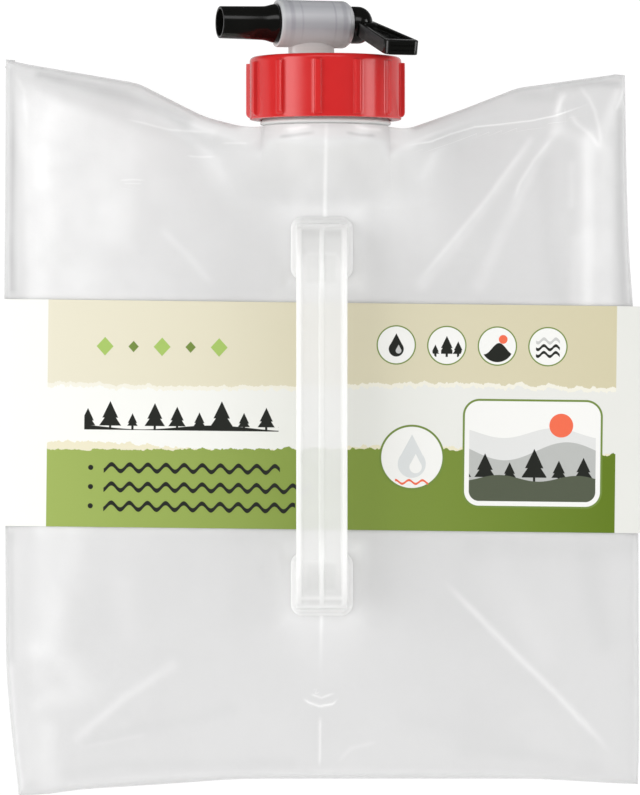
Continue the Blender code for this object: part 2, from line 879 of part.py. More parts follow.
def make_sleeve(where):
    left, right = sleeve_sides()
    flat_left = left + SLEEVE_FOLD_DEPTH + GAP
    flat_right = right - SLEEVE_FOLD_DEPTH - GAP
    size = (flat_right - flat_left, SLEEVE_HEIGHT, PAPER)
    middle = (flat_left + flat_right) / 2
    pieces = [
        block("sleeve_front", size, (middle, 0, SLEEVE_FRONT_Z + PAPER / 2), where),
        block("sleeve_rear", size, (middle, 0, PAPER / 2), where),
    ]
    for name, outer, inward in (("sleeve_left_fold", left, 1), ("sleeve_right_fold", right, -1)):
        outline = fold_path(outer, inward, 0) + fold_path(outer, inward, PAPER)[::-1]
        fold = prism(name, outline, SLEEVE_HEIGHT, where)
        fold.rotation_euler = (math.pi / 2, 0, 0)
        pieces.append(fold)
    for piece in pieces:
        piece.rotation_euler.z += math.radians(SLEEVE_TURN_DEG)
    return pieces


def main():
    clear_scene()
    parts = collection("water_carrier")
    cutters = collection("cutters")
    frame = guide(
        "tap_frame", (0, BARREL_Y, NECK_Z), (0, math.radians(TAP_TURN_DEG), 0), cutters
    )
    film = material("film", (0.90, 0.91, 0.91), 0.3, 0.45)
    finishes = {
        "bag_front_wall": film,
        "bag_rear_wall": material("film_rear", (0.88, 0.89, 0.89), 0.3, 0.45),
        "bag_gusset": material("film_side", (0.86, 0.87, 0.88), 0.3, 0.45),
        "neck": material("neck_plastic", (0.86, 0.86, 0.84), 0.35, 0.7),
        "cap_ring": material("red_plastic", (0.67, 0.03, 0.03), 0.35),
        "cap_gasket": material("gasket_foam", (0.85, 0.85, 0.82), 0.7),
        "tap_body": material("clear_plastic", (0.60, 0.59, 0.60), 0.3, 0.8),
        "valve_spindle": material("black_plastic", (0.012, 0.012, 0.012), 0.3),
        "lever": material("lever_plastic", (0.015, 0.015, 0.014), 0.3),
        "o_ring_lever_side": material("o_ring_rubber", (0.02, 0.02, 0.02), 0.6),
        "o_ring_spout_side": material("o_ring_rubber_2", (0.02, 0.02, 0.02), 0.6),
        "handle_pad_upper": material("pad_plastic", (0.88, 0.89, 0.89), 0.35, 0.75),
        "handle_pad_lower": material("pad_plastic_2", (0.88, 0.89, 0.89), 0.35, 0.75),
        "handle_strap": material("strap_plastic", (0.86, 0.87, 0.87), 0.35, 0.75),
        "sleeve_front": material("printed_paper", (0.82, 0.82, 0.76), 0.55),
        "sleeve_rear": material("paper_rear", (0.85, 0.85, 0.82), 0.6),
        "sleeve_left_fold": material("paper_left", (0.85, 0.85, 0.80), 0.6),
        "sleeve_right_fold": material("paper_right", (0.85, 0.85, 0.80), 0.6),
    }
    made = [
        make_front_wall(parts),
        make_rear_wall(parts),
        make_gusset(parts),
        make_neck(parts, cutters),
        make_cap_ring(parts, cutters),
        make_gasket(parts),
        make_tap_body(parts, cutters, frame),
        make_spindle(parts, cutters, frame),
        make_lever(parts, cutters, frame),
        make_pad("handle_pad_upper", 1, parts),
        make_pad("handle_pad_lower", -1, parts),
        make_strap(parts),
        *make_sleeve(parts),
    ]
    for name, x in zip(("o_ring_lever_side", "o_ring_spout_side"), o_ring_places()):
        made.append(make_o_ring(name, x, parts, frame))
    for obj in made:
        obj.data.materials.clear()
        obj.data.materials.append(finishes[obj.name])
    bpy.context.view_layer.update()


main()
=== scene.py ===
"""The looks of the collapsible water carrier: film bag, handle, sleeve, neck, cap and lever tap.

Metres, in the model's frame: +X to the right and +Y towards the tap as one looks at the handle, and
+Z up from the floor that the carrier lies on.
"""

import json
import math

import bmesh
import bpy
import numpy as np
from mathutils import Matrix, Vector


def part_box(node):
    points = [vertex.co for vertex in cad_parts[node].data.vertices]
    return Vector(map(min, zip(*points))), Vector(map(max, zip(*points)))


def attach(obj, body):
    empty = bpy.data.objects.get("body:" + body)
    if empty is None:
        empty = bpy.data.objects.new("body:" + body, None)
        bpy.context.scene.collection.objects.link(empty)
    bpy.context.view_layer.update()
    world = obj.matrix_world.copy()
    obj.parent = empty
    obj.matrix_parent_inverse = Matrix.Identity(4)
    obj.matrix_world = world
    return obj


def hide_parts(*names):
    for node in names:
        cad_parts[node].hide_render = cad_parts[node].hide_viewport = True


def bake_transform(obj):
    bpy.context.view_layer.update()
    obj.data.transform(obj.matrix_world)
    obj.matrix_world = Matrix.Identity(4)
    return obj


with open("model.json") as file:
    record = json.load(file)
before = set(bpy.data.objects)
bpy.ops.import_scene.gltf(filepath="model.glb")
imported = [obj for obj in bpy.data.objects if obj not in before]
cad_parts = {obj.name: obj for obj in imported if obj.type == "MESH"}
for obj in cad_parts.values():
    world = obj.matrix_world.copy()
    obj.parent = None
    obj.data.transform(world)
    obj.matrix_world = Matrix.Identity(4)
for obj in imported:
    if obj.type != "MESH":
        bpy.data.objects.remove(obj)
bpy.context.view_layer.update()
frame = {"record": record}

MM = 0.001
TO_MM = 1000.0

# Places read from the model
JOINTS = {joint["name"]: joint for joint in frame["record"]["behaviour"]["joints"]}
CAP_FOOT = Vector(JOINTS["cap_unscrew"]["pos_m"])
TAP_CENTRE = Vector(JOINTS["tap_swivel"]["pos_m"])
LEVER_AXIS = Vector(JOINTS["lever_turn"]["axis"])
REAR_LOW, REAR_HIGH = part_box("bag_rear_wall")
STRAP_LOW, STRAP_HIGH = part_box("handle_strap")
SLEEVE_LOW, SLEEVE_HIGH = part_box("sleeve_front")
CAP_LOW, CAP_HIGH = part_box("cap_ring")
NECK_LOW, NECK_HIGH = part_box("neck")

# Tools for meshes


def put(name, verts, faces):
    mesh = bpy.data.meshes.new(name)
    mesh.from_pydata([tuple(v) for v in verts], [], faces)
    mesh.update()
    obj = bpy.data.objects.new(name, mesh)
    bpy.context.scene.collection.objects.link(obj)
    return obj


def solid(name, verts, faces):
    """A closed piece, with its faces turned outward."""
    obj = put(name, verts, faces)
    bm = bmesh.new()
    bm.from_mesh(obj.data)
    bmesh.ops.recalc_face_normals(bm, faces=bm.faces)
    bm.to_mesh(obj.data)
    bm.free()
    return obj


def tube(rings, steps, closed=False):
    """Faces between rings of vertices, steps to a ring; closed joins the last to the first."""
    faces = []
    for i in range(rings if closed else rings - 1):
        low, high = i * steps, (i + 1) % rings * steps
        for k in range(steps):
            n = (k + 1) % steps
            faces.append((low + k, low + n, high + n, high + k))
    return faces


def smooth(obj, angle=35):
    obj.data.shade_smooth()
    obj.data.set_sharp_from_angle(angle=math.radians(angle))


def apply_modifiers(obj):
    graph = bpy.context.evaluated_depsgraph_get()
    mesh = bpy.data.meshes.new_from_object(obj.evaluated_get(graph))
    obj.modifiers.clear()
    obj.data = mesh


def thicken(obj, thickness):
    shell = obj.modifiers.new("shell", "SOLIDIFY")
    shell.thickness = thickness
    shell.offset = -1.0
    apply_modifiers(obj)


def combine(obj, other, operation):
    boolean = obj.modifiers.new(other.name, "BOOLEAN")
    boolean.operation = operation
    boolean.object = other
    boolean.solver = "EXACT"
    apply_modifiers(obj)
    bpy.data.objects.remove(other, do_unlink=True)


def rounded(points, radii, steps=4, closed=True):
    """A profile whose corners are rounded: radii is one radius, or one for each corner."""
    count = len(points)
    if not hasattr(radii, "__len__"):
        radii = [radii] * count
    made = []
    for i, (point, radius) in enumerate(zip(points, radii)):
        here = Vector(point)
        if radius <= 0 or (not closed and i in (0, count - 1)):
            made.append(tuple(here))
            continue
        back = Vector(points[i - 1]) - here
        ahead = Vector(points[(i + 1) % count]) - here
        reach = min(radius, 0.49 * back.length, 0.49 * ahead.length)
        start = here + back.normalized() * reach
        end = here + ahead.normalized() * reach
        for k in range(steps + 1):
            t = k / steps
            made.append(tuple(start * (1 - t) ** 2 + here * 2 * t * (1 - t) + end * t * t))
    return made


def lathe(name, profile, steps=96, closed=True):
    """A turned piece round +Y; the profile gives (radius, y). It may start and end on the axis."""
    rings = []
    verts = []
    for radius, y in profile:
        if radius < 1e-7:
            rings.append([len(verts)] * steps)
            verts.append((0.0, y, 0.0))
            continue
        rings.append(list(range(len(verts), len(verts) + steps)))
        for k in range(steps):
            turn = math.tau * k / steps
            verts.append((radius * math.sin(turn), y, radius * math.cos(turn)))
    faces = []
    for low, high in zip(rings, rings[1:] + rings[:1] if closed else rings[1:]):
        for k in range(steps):
            n = (k + 1) % steps
            corners = list(dict.fromkeys((low[k], low[n], high[n], high[k])))
            if len(corners) > 2:
                faces.append(corners)
    return solid(name, verts, faces)


def helix(name, radius, foot):
    """A thread's round bead round +Y, right-handed, with tapered ends."""
    count = round(THREAD_TURNS * BEAD_POINTS)
    verts = []
    for i in range(count + 1):
        turn = math.tau * i / BEAD_POINTS
        end = min(i, count - i) / (BEAD_POINTS / 10)
        thick = BEAD_R * min(1.0, 0.15 + end)
        for k in range(BEAD_SIDES):
            side = math.tau * k / BEAD_SIDES
            r = radius + thick * math.cos(side)
            y = foot + PITCH * i / BEAD_POINTS + thick * math.sin(side)
            verts.append((r * math.cos(turn), y, -r * math.sin(turn)))
    faces = tube(count + 1, BEAD_SIDES)
    faces.append(list(range(BEAD_SIDES)))
    faces.append(list(range(count * BEAD_SIDES, (count + 1) * BEAD_SIDES)))
    return solid(name, verts, faces)


def place(obj, matrix):
    obj.data.transform(matrix)
    return obj


def ease(t):
    t = np.clip(t, 0.0, 1.0)
    return t * t * (3 - 2 * t)


def noise2(x, y, cell, seed):
    """Smooth value noise from -1 to 1, the same at each run."""
    lattice = np.random.RandomState(seed).uniform(-1, 1, (64, 64))
    gx, gy = np.asarray(x) / cell + 31.0, np.asarray(y) / cell + 31.0
    ix, iy = np.floor(gx).astype(int), np.floor(gy).astype(int)
    fx, fy = ease(gx - ix), ease(gy - iy)
    a = lattice[iy % 64, ix % 64]
    b = lattice[iy % 64, (ix + 1) % 64]
    c = lattice[(iy + 1) % 64, ix % 64]
    d = lattice[(iy + 1) % 64, (ix + 1) % 64]
    return (a * (1 - fx) + b * fx) * (1 - fy) + (c * (1 - fx) + d * fx) * fy


def to_line(x, y, line):
    """For each point: distance to a line given in mm, share of the way along it, and side."""
    line = np.array(line, float) * MM
    spans = np.linalg.norm(line[1:] - line[:-1], axis=1)
    best = np.full(x.shape, np.inf)
    along = np.zeros(x.shape)
    side = np.ones(x.shape)
    done = 0.0
    for (ax, ay), (bx, by), span in zip(line, line[1:], spans):
        dx, dy = bx - ax, by - ay
        t = np.clip(((x - ax) * dx + (y - ay) * dy) / span**2, 0, 1)
        distance = np.hypot(x - ax - t * dx, y - ay - t * dy)
        nearer = distance < best
        best = np.where(nearer, distance, best)
        along = np.where(nearer, (done + t * span) / spans.sum(), along)
        side = np.where(nearer, np.where(dx * (y - ay) - dy * (x - ax) < 0, -1.0, 1.0), side)
        done += span
    return best, along, side


def store(obj, name, values):
    attribute = obj.data.attributes.new(name, "FLOAT", "POINT")
    attribute.data.foreach_set("value", np.asarray(values, np.float32))


# Tools for materials


class Term:
    """A number in a node tree, with arithmetic."""

    def __init__(self, tree, socket):
        self.tree, self.socket = tree, socket

    def math(self, operation, *others, clamp=False):
        node = self.tree.nodes.new("ShaderNodeMath")
        node.operation = operation
        node.use_clamp = clamp
        for entry, value in zip(node.inputs, (self, *others)):
            if isinstance(value, Term):
                self.tree.links.new(value.socket, entry)
            else:
                entry.default_value = value
        return Term(self.tree, node.outputs[0])

    def __add__(self, other):
        return self.math("ADD", other)

    def __sub__(self, other):
        return self.math("SUBTRACT", other)

    def __mul__(self, other):
        return self.math("MULTIPLY", other)

    def __truediv__(self, other):
        return self.math("DIVIDE", other)

    def __abs__(self):
        return self.math("ABSOLUTE")

    def low(self, other):
        return self.math("MINIMUM", other)

    def high(self, other):
        return self.math("MAXIMUM", other)

    def sine(self):
        return self.math("SINE")

    def length(self, other):
        return (self * self + other * other).math("SQRT")

    def clamped(self):
        return self.math("ADD", 0.0, clamp=True)

    def inside(self, soft):
        """1 where the term is below zero and 0 above, with a soft step."""
        return (self / -soft + 0.5).clamped()

    def band(self, at, half, full):
        """1 near one value of the term, falling to 0 away from it."""
        return (abs(self - at) / half * -1.0 + full).clamped()


class Tree:
    """The nodes of a material, lamp or world, with short names for what is made of them."""

    def __init__(self, owner):
        owner.use_nodes = True
        self.nodes, self.links = owner.node_tree.nodes, owner.node_tree.links

    def term(self, kind, output):
        return Term(self, self.nodes.new("ShaderNode" + kind).outputs[output])

    def split(self, socket):
        """A vector's three parts."""
        node = self.nodes.new("ShaderNodeSeparateXYZ")
        self.links.new(socket, node.inputs[0])
        return [Term(self, part) for part in node.outputs]

    def mix_shaders(self, factor, *shaders):
        node = self.nodes.new("ShaderNodeMixShader")
        for entry, socket in zip(node.inputs, (factor.socket, *shaders)):
            self.links.new(socket, entry)
        return node.outputs[0]


class Finish(Tree):
    """A material with one Principled shader."""

    def __init__(self, name, colour, roughness, alpha=1.0, **values):
        self.material = bpy.data.materials.new(name)
        super().__init__(self.material)
        self.shader = self.nodes["Principled BSDF"]
        values |= {"Base Color": (*colour, 1.0), "Roughness": roughness, "Alpha": alpha}
        for key, value in values.items():
            self.shader.inputs[key.replace("_", " ")].default_value = value
        self.coordinates = self.nodes.new("ShaderNodeTexCoord").outputs["Object"]

    def noise(self, scale, detail=3.0, roughness=0.55, stretch=(1, 1, 1)):
        mapping = self.nodes.new("ShaderNodeMapping")
        mapping.inputs["Scale"].default_value = stretch
        self.links.new(self.coordinates, mapping.inputs["Vector"])
        node = self.nodes.new("ShaderNodeTexNoise")
        node.inputs["Scale"].default_value = scale
        node.inputs["Detail"].default_value = detail
        node.inputs["Roughness"].default_value = roughness
        self.links.new(mapping.outputs[0], node.inputs["Vector"])
        return Term(self, node.outputs["Fac"])

    def attribute(self, name):
        node = self.nodes.new("ShaderNodeAttribute")
        node.attribute_name = name
        return Term(self, node.outputs["Fac"])

    def mix(self, factor, a, b):
        """A colour between two colours or colour sockets."""
        node = self.nodes.new("ShaderNodeMix")
        node.data_type = "RGBA"
        self.links.new(factor.socket, node.inputs["Factor"])
        for entry, value in (("A", a), ("B", b)):
            socket = [s for s in node.inputs if s.name == entry and s.type == "RGBA"][0]
            if isinstance(value, bpy.types.NodeSocket):
                self.links.new(value, socket)
            else:
                socket.default_value = (*value, 1.0)
        return [s for s in node.outputs if s.type == "RGBA"][0]

    def colour(self, socket):
        self.links.new(socket, self.shader.inputs["Base Color"])

    def feed(self, entry, term):
        self.links.new(term.socket, self.shader.inputs[entry])

    def bump(self, height, strength, distance):
        node = self.nodes.new("ShaderNodeBump")
        node.inputs["Strength"].default_value = strength
        node.inputs["Distance"].default_value = distance
        self.links.new(height.socket, node.inputs["Height"])
        self.links.new(node.outputs[0], self.shader.inputs["Normal"])


def moulded(name, low, high, roughness, alpha=1.0, bump=0.06, **values):
    """A moulded plastic: two close tones in soft clouds, with uneven gloss."""
    made = Finish(name, low, roughness, alpha, **values)
    made.colour(made.mix(made.noise(85, 3.0), low, high))
    made.feed("Roughness", made.noise(240, 3.0) * 0.06 + (roughness - 0.03))
    made.bump(made.noise(500, 3.0, 0.6), bump, 0.0004)
    return made


def dress(obj, finish, body, slot, *nodes):
    obj.data.materials.clear()
    obj.data.materials.append(finish.material)
    if body:
        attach(obj, body)
    if nodes:
        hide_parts(*nodes)


# Film bag: the outline's tables give places along an edge and the reach there as shares

HALF_WIDTH = 0.1215
HALF_HEIGHT = 0.140
LEFT_EDGE_SHARES = (
    (0.0, -0.974), (0.045, -0.987), (0.105, -1.003), (0.175, -1.016), (0.65, -1.022), (1.0, -1.016),
)
RIGHT_EDGE_SHARES = (
    (0.0, 0.994), (0.061, 0.998), (0.351, 0.996), (0.669, 0.980), (0.744, 0.966), (0.821, 0.960),
    (1.0, 0.952),
)
BOTTOM_EDGE_SHARES = (
    (0.0, -1.048), (0.046, -1.045), (0.093, -1.031), (0.227, -1.017), (0.357, -1.001),
    (0.837, -1.001), (0.967, -1.014), (1.0, -1.016),
)
TOP_LEFT_SHARES = (
    (0.0, 0.196), (0.04, 0.185), (0.514, 0.127), (0.773, 0.032), (0.933, 0.0), (1.0, 0.0),
)
TOP_RIGHT_SHARES = (
    (0.0, 0.146), (0.014, 0.154), (0.454, 0.114), (0.695, 0.051), (0.927, -0.006), (1.0, 0.0),
)
NECK_Z = CAP_FOOT.z
NECK_Y = 0.7914 * HALF_HEIGHT
NECK_R = 0.0235
FILM = 0.0004
ARCH_R = NECK_R + 0.00055
FILM_COLLAR = 0.005
SHOULDER_LENGTH = 0.02698
SHOULDER_FALL_SHARE = 0.6
BELL_HALF = 0.052
FRONT_Z = SLEEVE_LOW[2] - 0.0003
REAR_Z = REAR_LOW[2]
NEAR_EDGE = (0.0, 0.0004, 0.0009, 0.0016, 0.0025, 0.0036)
SIDE_SHARE = 0.33
SIDE_STEPS = 74
ARCH_STEPS = 60
ROW_STEPS = 216
EDGE_R = 0.0026
FOLD_LOW_Z = 0.0015
FOLD_HIGH_Z = 0.005
FOLD_STEPS = 7
WALL_STEPS = 5
FOLD_DEPTH = 0.003
REAR_INSET = 0.00035
REAR_WAVE = 0.0003
SLEEVE_HALF = 0.04375
SLEEVE_TURN = math.radians(-0.67)
PAD_X, PAD_Y = -0.0014, 0.06475
PAD_HALF_X, PAD_HALF_Y = 0.012, 0.01225


def read(table, at):
    """A table's value, with its corners softened over a short way."""
    places, values = zip(*table)
    return np.mean([np.interp(at + d, places, values) for d in np.linspace(-0.03, 0.03, 7)], 0)


def edge_dense(steps, length):
    """Places from 0 to 1 along a length, close together at both ends."""
    near = [d / length for d in NEAR_EDGE]
    middle = np.linspace(near[-1], 1 - near[-1], steps - 2 * (len(near) - 1) + 1)
    return np.array(near[:-1] + list(middle) + [1 - n for n in reversed(near[:-1])])


def bag_columns():
    """Each column's place along the bottom, and its x, y and neck angle at the top."""
    near = [d / (2 * HALF_WIDTH) for d in NEAR_EDGE]
    left = near[:-1] + list(np.linspace(near[-1], SIDE_SHARE, SIDE_STEPS + 1))
    arch = list(np.linspace(SIDE_SHARE, 1 - SIDE_SHARE, ARCH_STEPS + 1))
    right = [1 - c for c in reversed(left)]
    bottom = np.array(left + arch[1:-1] + right)
    first, last = len(left) - 1, len(left) - 1 + ARCH_STEPS
    left_x = read(LEFT_EDGE_SHARES, 1.0) * HALF_WIDTH
    right_x = read(RIGHT_EDGE_SHARES, 1.0) * HALF_WIDTH
    x = np.empty(len(bottom))
    y = np.full(len(bottom), NECK_Y)
    angle = np.full(len(bottom), np.nan)
    toward = np.array(left) / SIDE_SHARE
    x[: first + 1] = left_x + (-ARCH_R - left_x) * toward
    y[: first + 1] += read(TOP_LEFT_SHARES, toward) * HALF_HEIGHT
    angle[first : last + 1] = np.linspace(-math.pi / 2, math.pi / 2, ARCH_STEPS + 1)
    x[first : last + 1] = ARCH_R * np.sin(angle[first : last + 1])
    toward = toward[::-1]
    x[last:] = right_x + (ARCH_R - right_x) * toward
    y[last:] = NECK_Y + read(TOP_RIGHT_SHARES, toward) * HALF_HEIGHT
    return bottom, x, y, angle, first, last


# Whitening of the front, points and widths in millimetres: the folded film's own whitening together
# with painted highlights; below zero it is painted shade, and some lines are painted light that
# evens out the shadows by the pads and on the slope under the neck. A fan lies left of all its
# edges, each from one point to another with a soft width; each line follows its points, with a
# width at each end.
WHITENING_AND_HIGHLIGHT_FANS = (
    (
        0.17,
        (
            ((-116, -42), (-80, 138), 38.0), ((-119, 138), (-112, -42), 2.4),
            ((-75, 112), (-123, 131), 3.0), ((-130, -48), (0, -48), 26.0),
        ),
    ),
    (
        0.12,
        (
            ((-60, -42), (-50, 138), 30.0), ((-119, 138), (-112, -42), 2.4),
            ((-60, 108), (-123, 129), 4.0), ((-130, -48), (0, -48), 26.0),
        ),
    ),
    (
        0.16,
        (
            ((97.3, 130), (97.3, 0), 3.2), ((111.2, 0), (111.2, 130), 1.6),
            ((120, 106), (80, 104), 6.0), ((80, 20), (120, 20), 20.0),
        ),
    ),
)
FOLD_WHITE_AND_PAINTED_LIGHT_LINES = (
    (((-106, 115), (-108.5, 97), (-109.5, 81.5), (-110, 48.5)), 5.4, 5.0, 0.14),
    (((-95.5, 110), (-87.5, 99), (-87, 77.5), (-94.5, 50.5)), 8.5, 7.5, 0.07),
    (((-76, 102.5), (-78.5, 87), (-80, 70)), 5.8, 5.8, 0.10),
    (((-109.5, 102.5), (-109.5, 90.5)), 3.1, 3.1, 0.10),
    (((-113, 126.5), (-102.5, 119.5), (-94, 115)), 1.9, 3.5, 0.06),
    # Dark lines along the edges and folds, here and wherever the whitening is below zero: painted
    # shade
    (((-122, 133.5), (-121, 114), (-121, 49)), 1.5, 1.9, -0.30),
    (((-110, 132), (-94.5, 128), (-75.5, 123), (-54, 113.5)), 1.7, 3.1, -0.30),
    (((-102.5, 133.5), (-87, 131.5), (-74, 128)), 1.2, 1.5, -0.15),
    (((-71.5, 117.5), (-60, 113.5), (-44, 109)), 3.5, 1.9, 0.10),
    (((101.5, 108), (101.5, 77.5), (101.5, 45)), 2.5, 2.7, 0.24),
    (((107.5, 102.5), (107.5, 45)), 2.7, 2.7, 0.06),
    (((95, 97), (95, 81.5)), 1.5, 1.5, 0.10),
    (((96.5, 68), (95.5, 45)), 2.3, 1.9, 0.08),
    (((113, 125), (109, 113.5), (105.5, 105.5)), 1.9, 3.5, 0.22),
    (((90.5, 123.5), (89.5, 116), (89, 110.5)), 1.2, 2.7, 0.20),
    (((79, 106.5), (69.5, 92), (54.5, 71.5), (37.5, 51)), 1.4, 2.8, 0.12),
    (((88, 109), (81.5, 98), (74, 82.5), (59.5, 51)), 1.6, 3.1, 0.12),
    (((90.5, 110.5), (99.5, 106.5)), 1.9, 3.1, 0.10),
    (((90.5, 128), (106, 129), (113, 128)), 1.9, 1.5, -0.25),
    (((75, 123.5), (88.5, 123.5)), 2.7, 2.7, -0.10),
    (((113.8, 118), (113.8, 83.5), (115, 45)), 1.4, 1.7, -0.24),
    (((84.5, 97), (86, 68), (90.5, 45)), 4.2, 4.2, -0.08),
    (((-110, -41), (-108, -61.5), (-109.5, -88)), 7.5, 6.5, 0.15),
    (((-98, -44), (-99.5, -64), (-106, -86.5)), 5.5, 6.0, 0.13),
    (((-109.5, -92), (-99.5, -97), (-94, -105.5)), 5.5, 6.5, 0.15),
    (((-102.5, -109.5), (-110, -111.5)), 4.6, 3.9, 0.12),
    (((-107, -121), (-108, -132.5), (-105.5, -142.5)), 5.0, 5.4, 0.17),
    (((-77.5, -66), (-76, -84)), 5.5, 5.5, 0.06),
    (((-110, -100.5), (-107, -106)), 4.4, 4.4, 0.11),
    (((-122, -46), (-122, -94)), 1.7, 1.9, -0.24),
    (((-96, -124.5), (-78, -109), (-59.5, -96.5)), 1.9, 2.6, 0.09),
    (((-91.5, -126), (-74.5, -121), (-53.5, -118), (-37, -113)), 2.4, 3.4, -0.04),
    (((-101, -138), (-82.5, -134.5), (-57.5, -134), (-13.5, -134)), 2.0, 2.4, -0.04),
    (((-98.5, -142.5), (-64, -139), (2, -137.5), (67.5, -138.5), (106, -141)), 1.4, 1.4, 0.10),
    (((66, -60), (84.5, -92)), 7.0, 6.0, 0.05),
    (((102, -55.5), (104.5, -71), (107.5, -86.5)), 6.6, 5.6, -0.08),
    (((58, -50), (90.5, -51), (117.5, -50)), 5.5, 5.5, -0.05),
    (((54, -128.5), (80, -131), (105, -135.5)), 3.2, 2.6, -0.04),
    (((33.5, -116.5), (75, -127)), 5.0, 5.0, -0.03),
    # Under the collar painted shade; on the steep slope below the neck painted light that evens out
    # its shading
    (((-6, 111.5), (5.5, 111.5)), 1.9, 1.9, -0.15),
    (((0, 106), (0, 90)), 24.0, 21.0, 0.22),
    (((27, 113), (37, 98)), 6.0, 9.0, 0.12),
    (((29, 98), (38, 70)), 12.0, 14.0, 0.11),
    (((60, 90), (52, 60)), 16.0, 18.0, -0.05),
    (((60, -62), (60, -100)), 22.0, 22.0, -0.05),
    # Beside and along the pads: painted light that hides the shadows of the pads and strap on the
    # film
    (((12.5, 71), (12.5, 52)), 4.0, 5.0, 0.11),
    (((12.5, -52), (12.5, -71)), 4.0, 5.0, 0.13),
    (((-1.4, 79), (-1.4, 52)), 17.0, 18.0, 0.18),
    (((-1.4, -52), (-1.4, -77)), 18.0, 16.0, 0.18),
    (((20, 96), (24, 55)), 13.0, 15.0, 0.09),
)
# Fine creases in three sets, so that those that cross lie in different sets: line, width,
# whitening.
# The whitening is the film's own at a crease together with a painted highlight; below zero it is
# painted shade.
CREASES = (
    (
        (((-78, 115), (-69.5, 113), (-60, 110.5), (-43.5, 109)), 0.5, 0.16),
        (
            ((44, -62), (55.5, -73.5), (72, -90.5), (88.5, -106.5), (105, -124), (111.5, -132)),
            1.3, 0.22,
        ),
        (
            (
                (30, 103.5), (40.5, 105.5), (48, 108.5), (57.5, 111.5), (79.5, 114), (89, 116),
                (103, 121),
            ),
            0.35, 0.42,
        ),
        (((-79.5, 91), (-74.5, 91.3), (-69.5, 91)), 0.35, 0.14),
        (((-65, 74), (-53.5, 62.5), (-42, 49)), 1.6, 0.08),
        # Just under the collar: painted highlights of the film's ripples
        (((-16, 109), (-11.5, 109), (-5, 110)), 0.8, 0.22),
        (((10, 110), (16.5, 109), (22.5, 109)), 0.8, 0.22),
        (((-120, 132.5), (-116, 125), (-115, 110.5)), 0.9, 0.08),
    ),
    (
        (((97, 128.5), (101.5, 123), (104, 118), (106, 109), (106.5, 102.5)), 0.9, 0.18),
        (((-54, 100.5), (-48.5, 100), (-42, 100)), 0.4, 0.14),
        (((-98, -125.5), (-78, -109), (-59, -96)), 1.6, 0.07),
        # Just under the collar: painted shade of the film's ripples
        (((-18.5, 106), (-11.5, 106.5), (-3.5, 107.5)), 0.7, -0.32),
        (((7, 107.5), (13.5, 106.5), (20, 106.5)), 0.7, -0.32),
        (((80, 107.5), (69.5, 94), (62.5, 84), (52.5, 72), (43, 60.5), (35, 51)), 1.0, 0.15),
        (((-9, -108.5), (-6.5, -110.5), (-2, -112), (3, -111), (5, -109)), 0.5, 0.42),
        (((4.5, -133.5), (10, -128), (20.5, -125.5)), 0.9, 0.06),
        (((-78, 89.8), (-74, 89.7), (-70.5, 89.8)), 0.3, 0.12),
    ),
    (
        (((94, 117.5), (97, 113), (102, 109), (106.5, 102.5)), 1.0, 0.18),
        (((-40, 105), (-29, 104.5)), 0.4, 0.12),
        (((-95.5, -128), (-67.5, -122.5)), 0.9, 0.05),
        (((89, 109), (81, 99.5), (75, 90), (72.5, 82.5)), 0.8, 0.16),
        (((93, 125), (90.5, 121), (89, 115.5)), 1.1, 0.24),
        (((116, 128), (112, 117.5)), 0.6, 0.15),
        (((-6, -107.2), (-1.5, -108.7), (3.5, -106.8)), 0.5, 0.25),
        (((0.5, 125), (-0.4, 60), (-1.5, -78), (-2, -104)), 0.75, 0.42),
        (((-2, -115), (-2.2, -136)), 0.6, 0.24),
    ),
)
FAR_ACROSS = 9.0
GLOW_HEIGHT = 0.0012
# Painted light on the film round the pads and along the sleeve's edges, that hides their shadows
PAD_PAINTED_LIGHT, PAD_PAINTED_LIGHT_WIDTH = 0.13, 0.0045
SLEEVE_PAINTED_LIGHT, SLEEVE_PAINTED_LIGHT_WIDTH = 0.10, 0.0022
BULGE, BULGE_OUT, BULGE_WIDTH = 0.0005, 0.007, 0.006
SETTLE, SETTLE_WIDTH = 0.0012, 0.006
HELD_POWER = 14


def crease_fields(x, y, creases):
    """The place across the nearest crease, in its widths and signed, and the whitening there, which
    carries painted highlights and painted shade too.
    """
    across = np.full(x.shape, FAR_ACROSS)
    white = np.zeros(x.shape)
    for line, width, strength in creases:
        distance, along, side = to_line(x, y, line)
        scaled = distance / (width * MM)
        ends = ease(along * 5) * ease((1 - along) * 5)
        reach = 1 - ease((distance - 0.0022) / 0.0016)
        closer = scaled < np.abs(across)
        across = np.where(closer, scaled * side, across)
        white = np.where(closer, strength * ends * reach, white)
    return across, white


def bell_curve(distance, width):
    return np.exp(-((distance / width) ** 2))


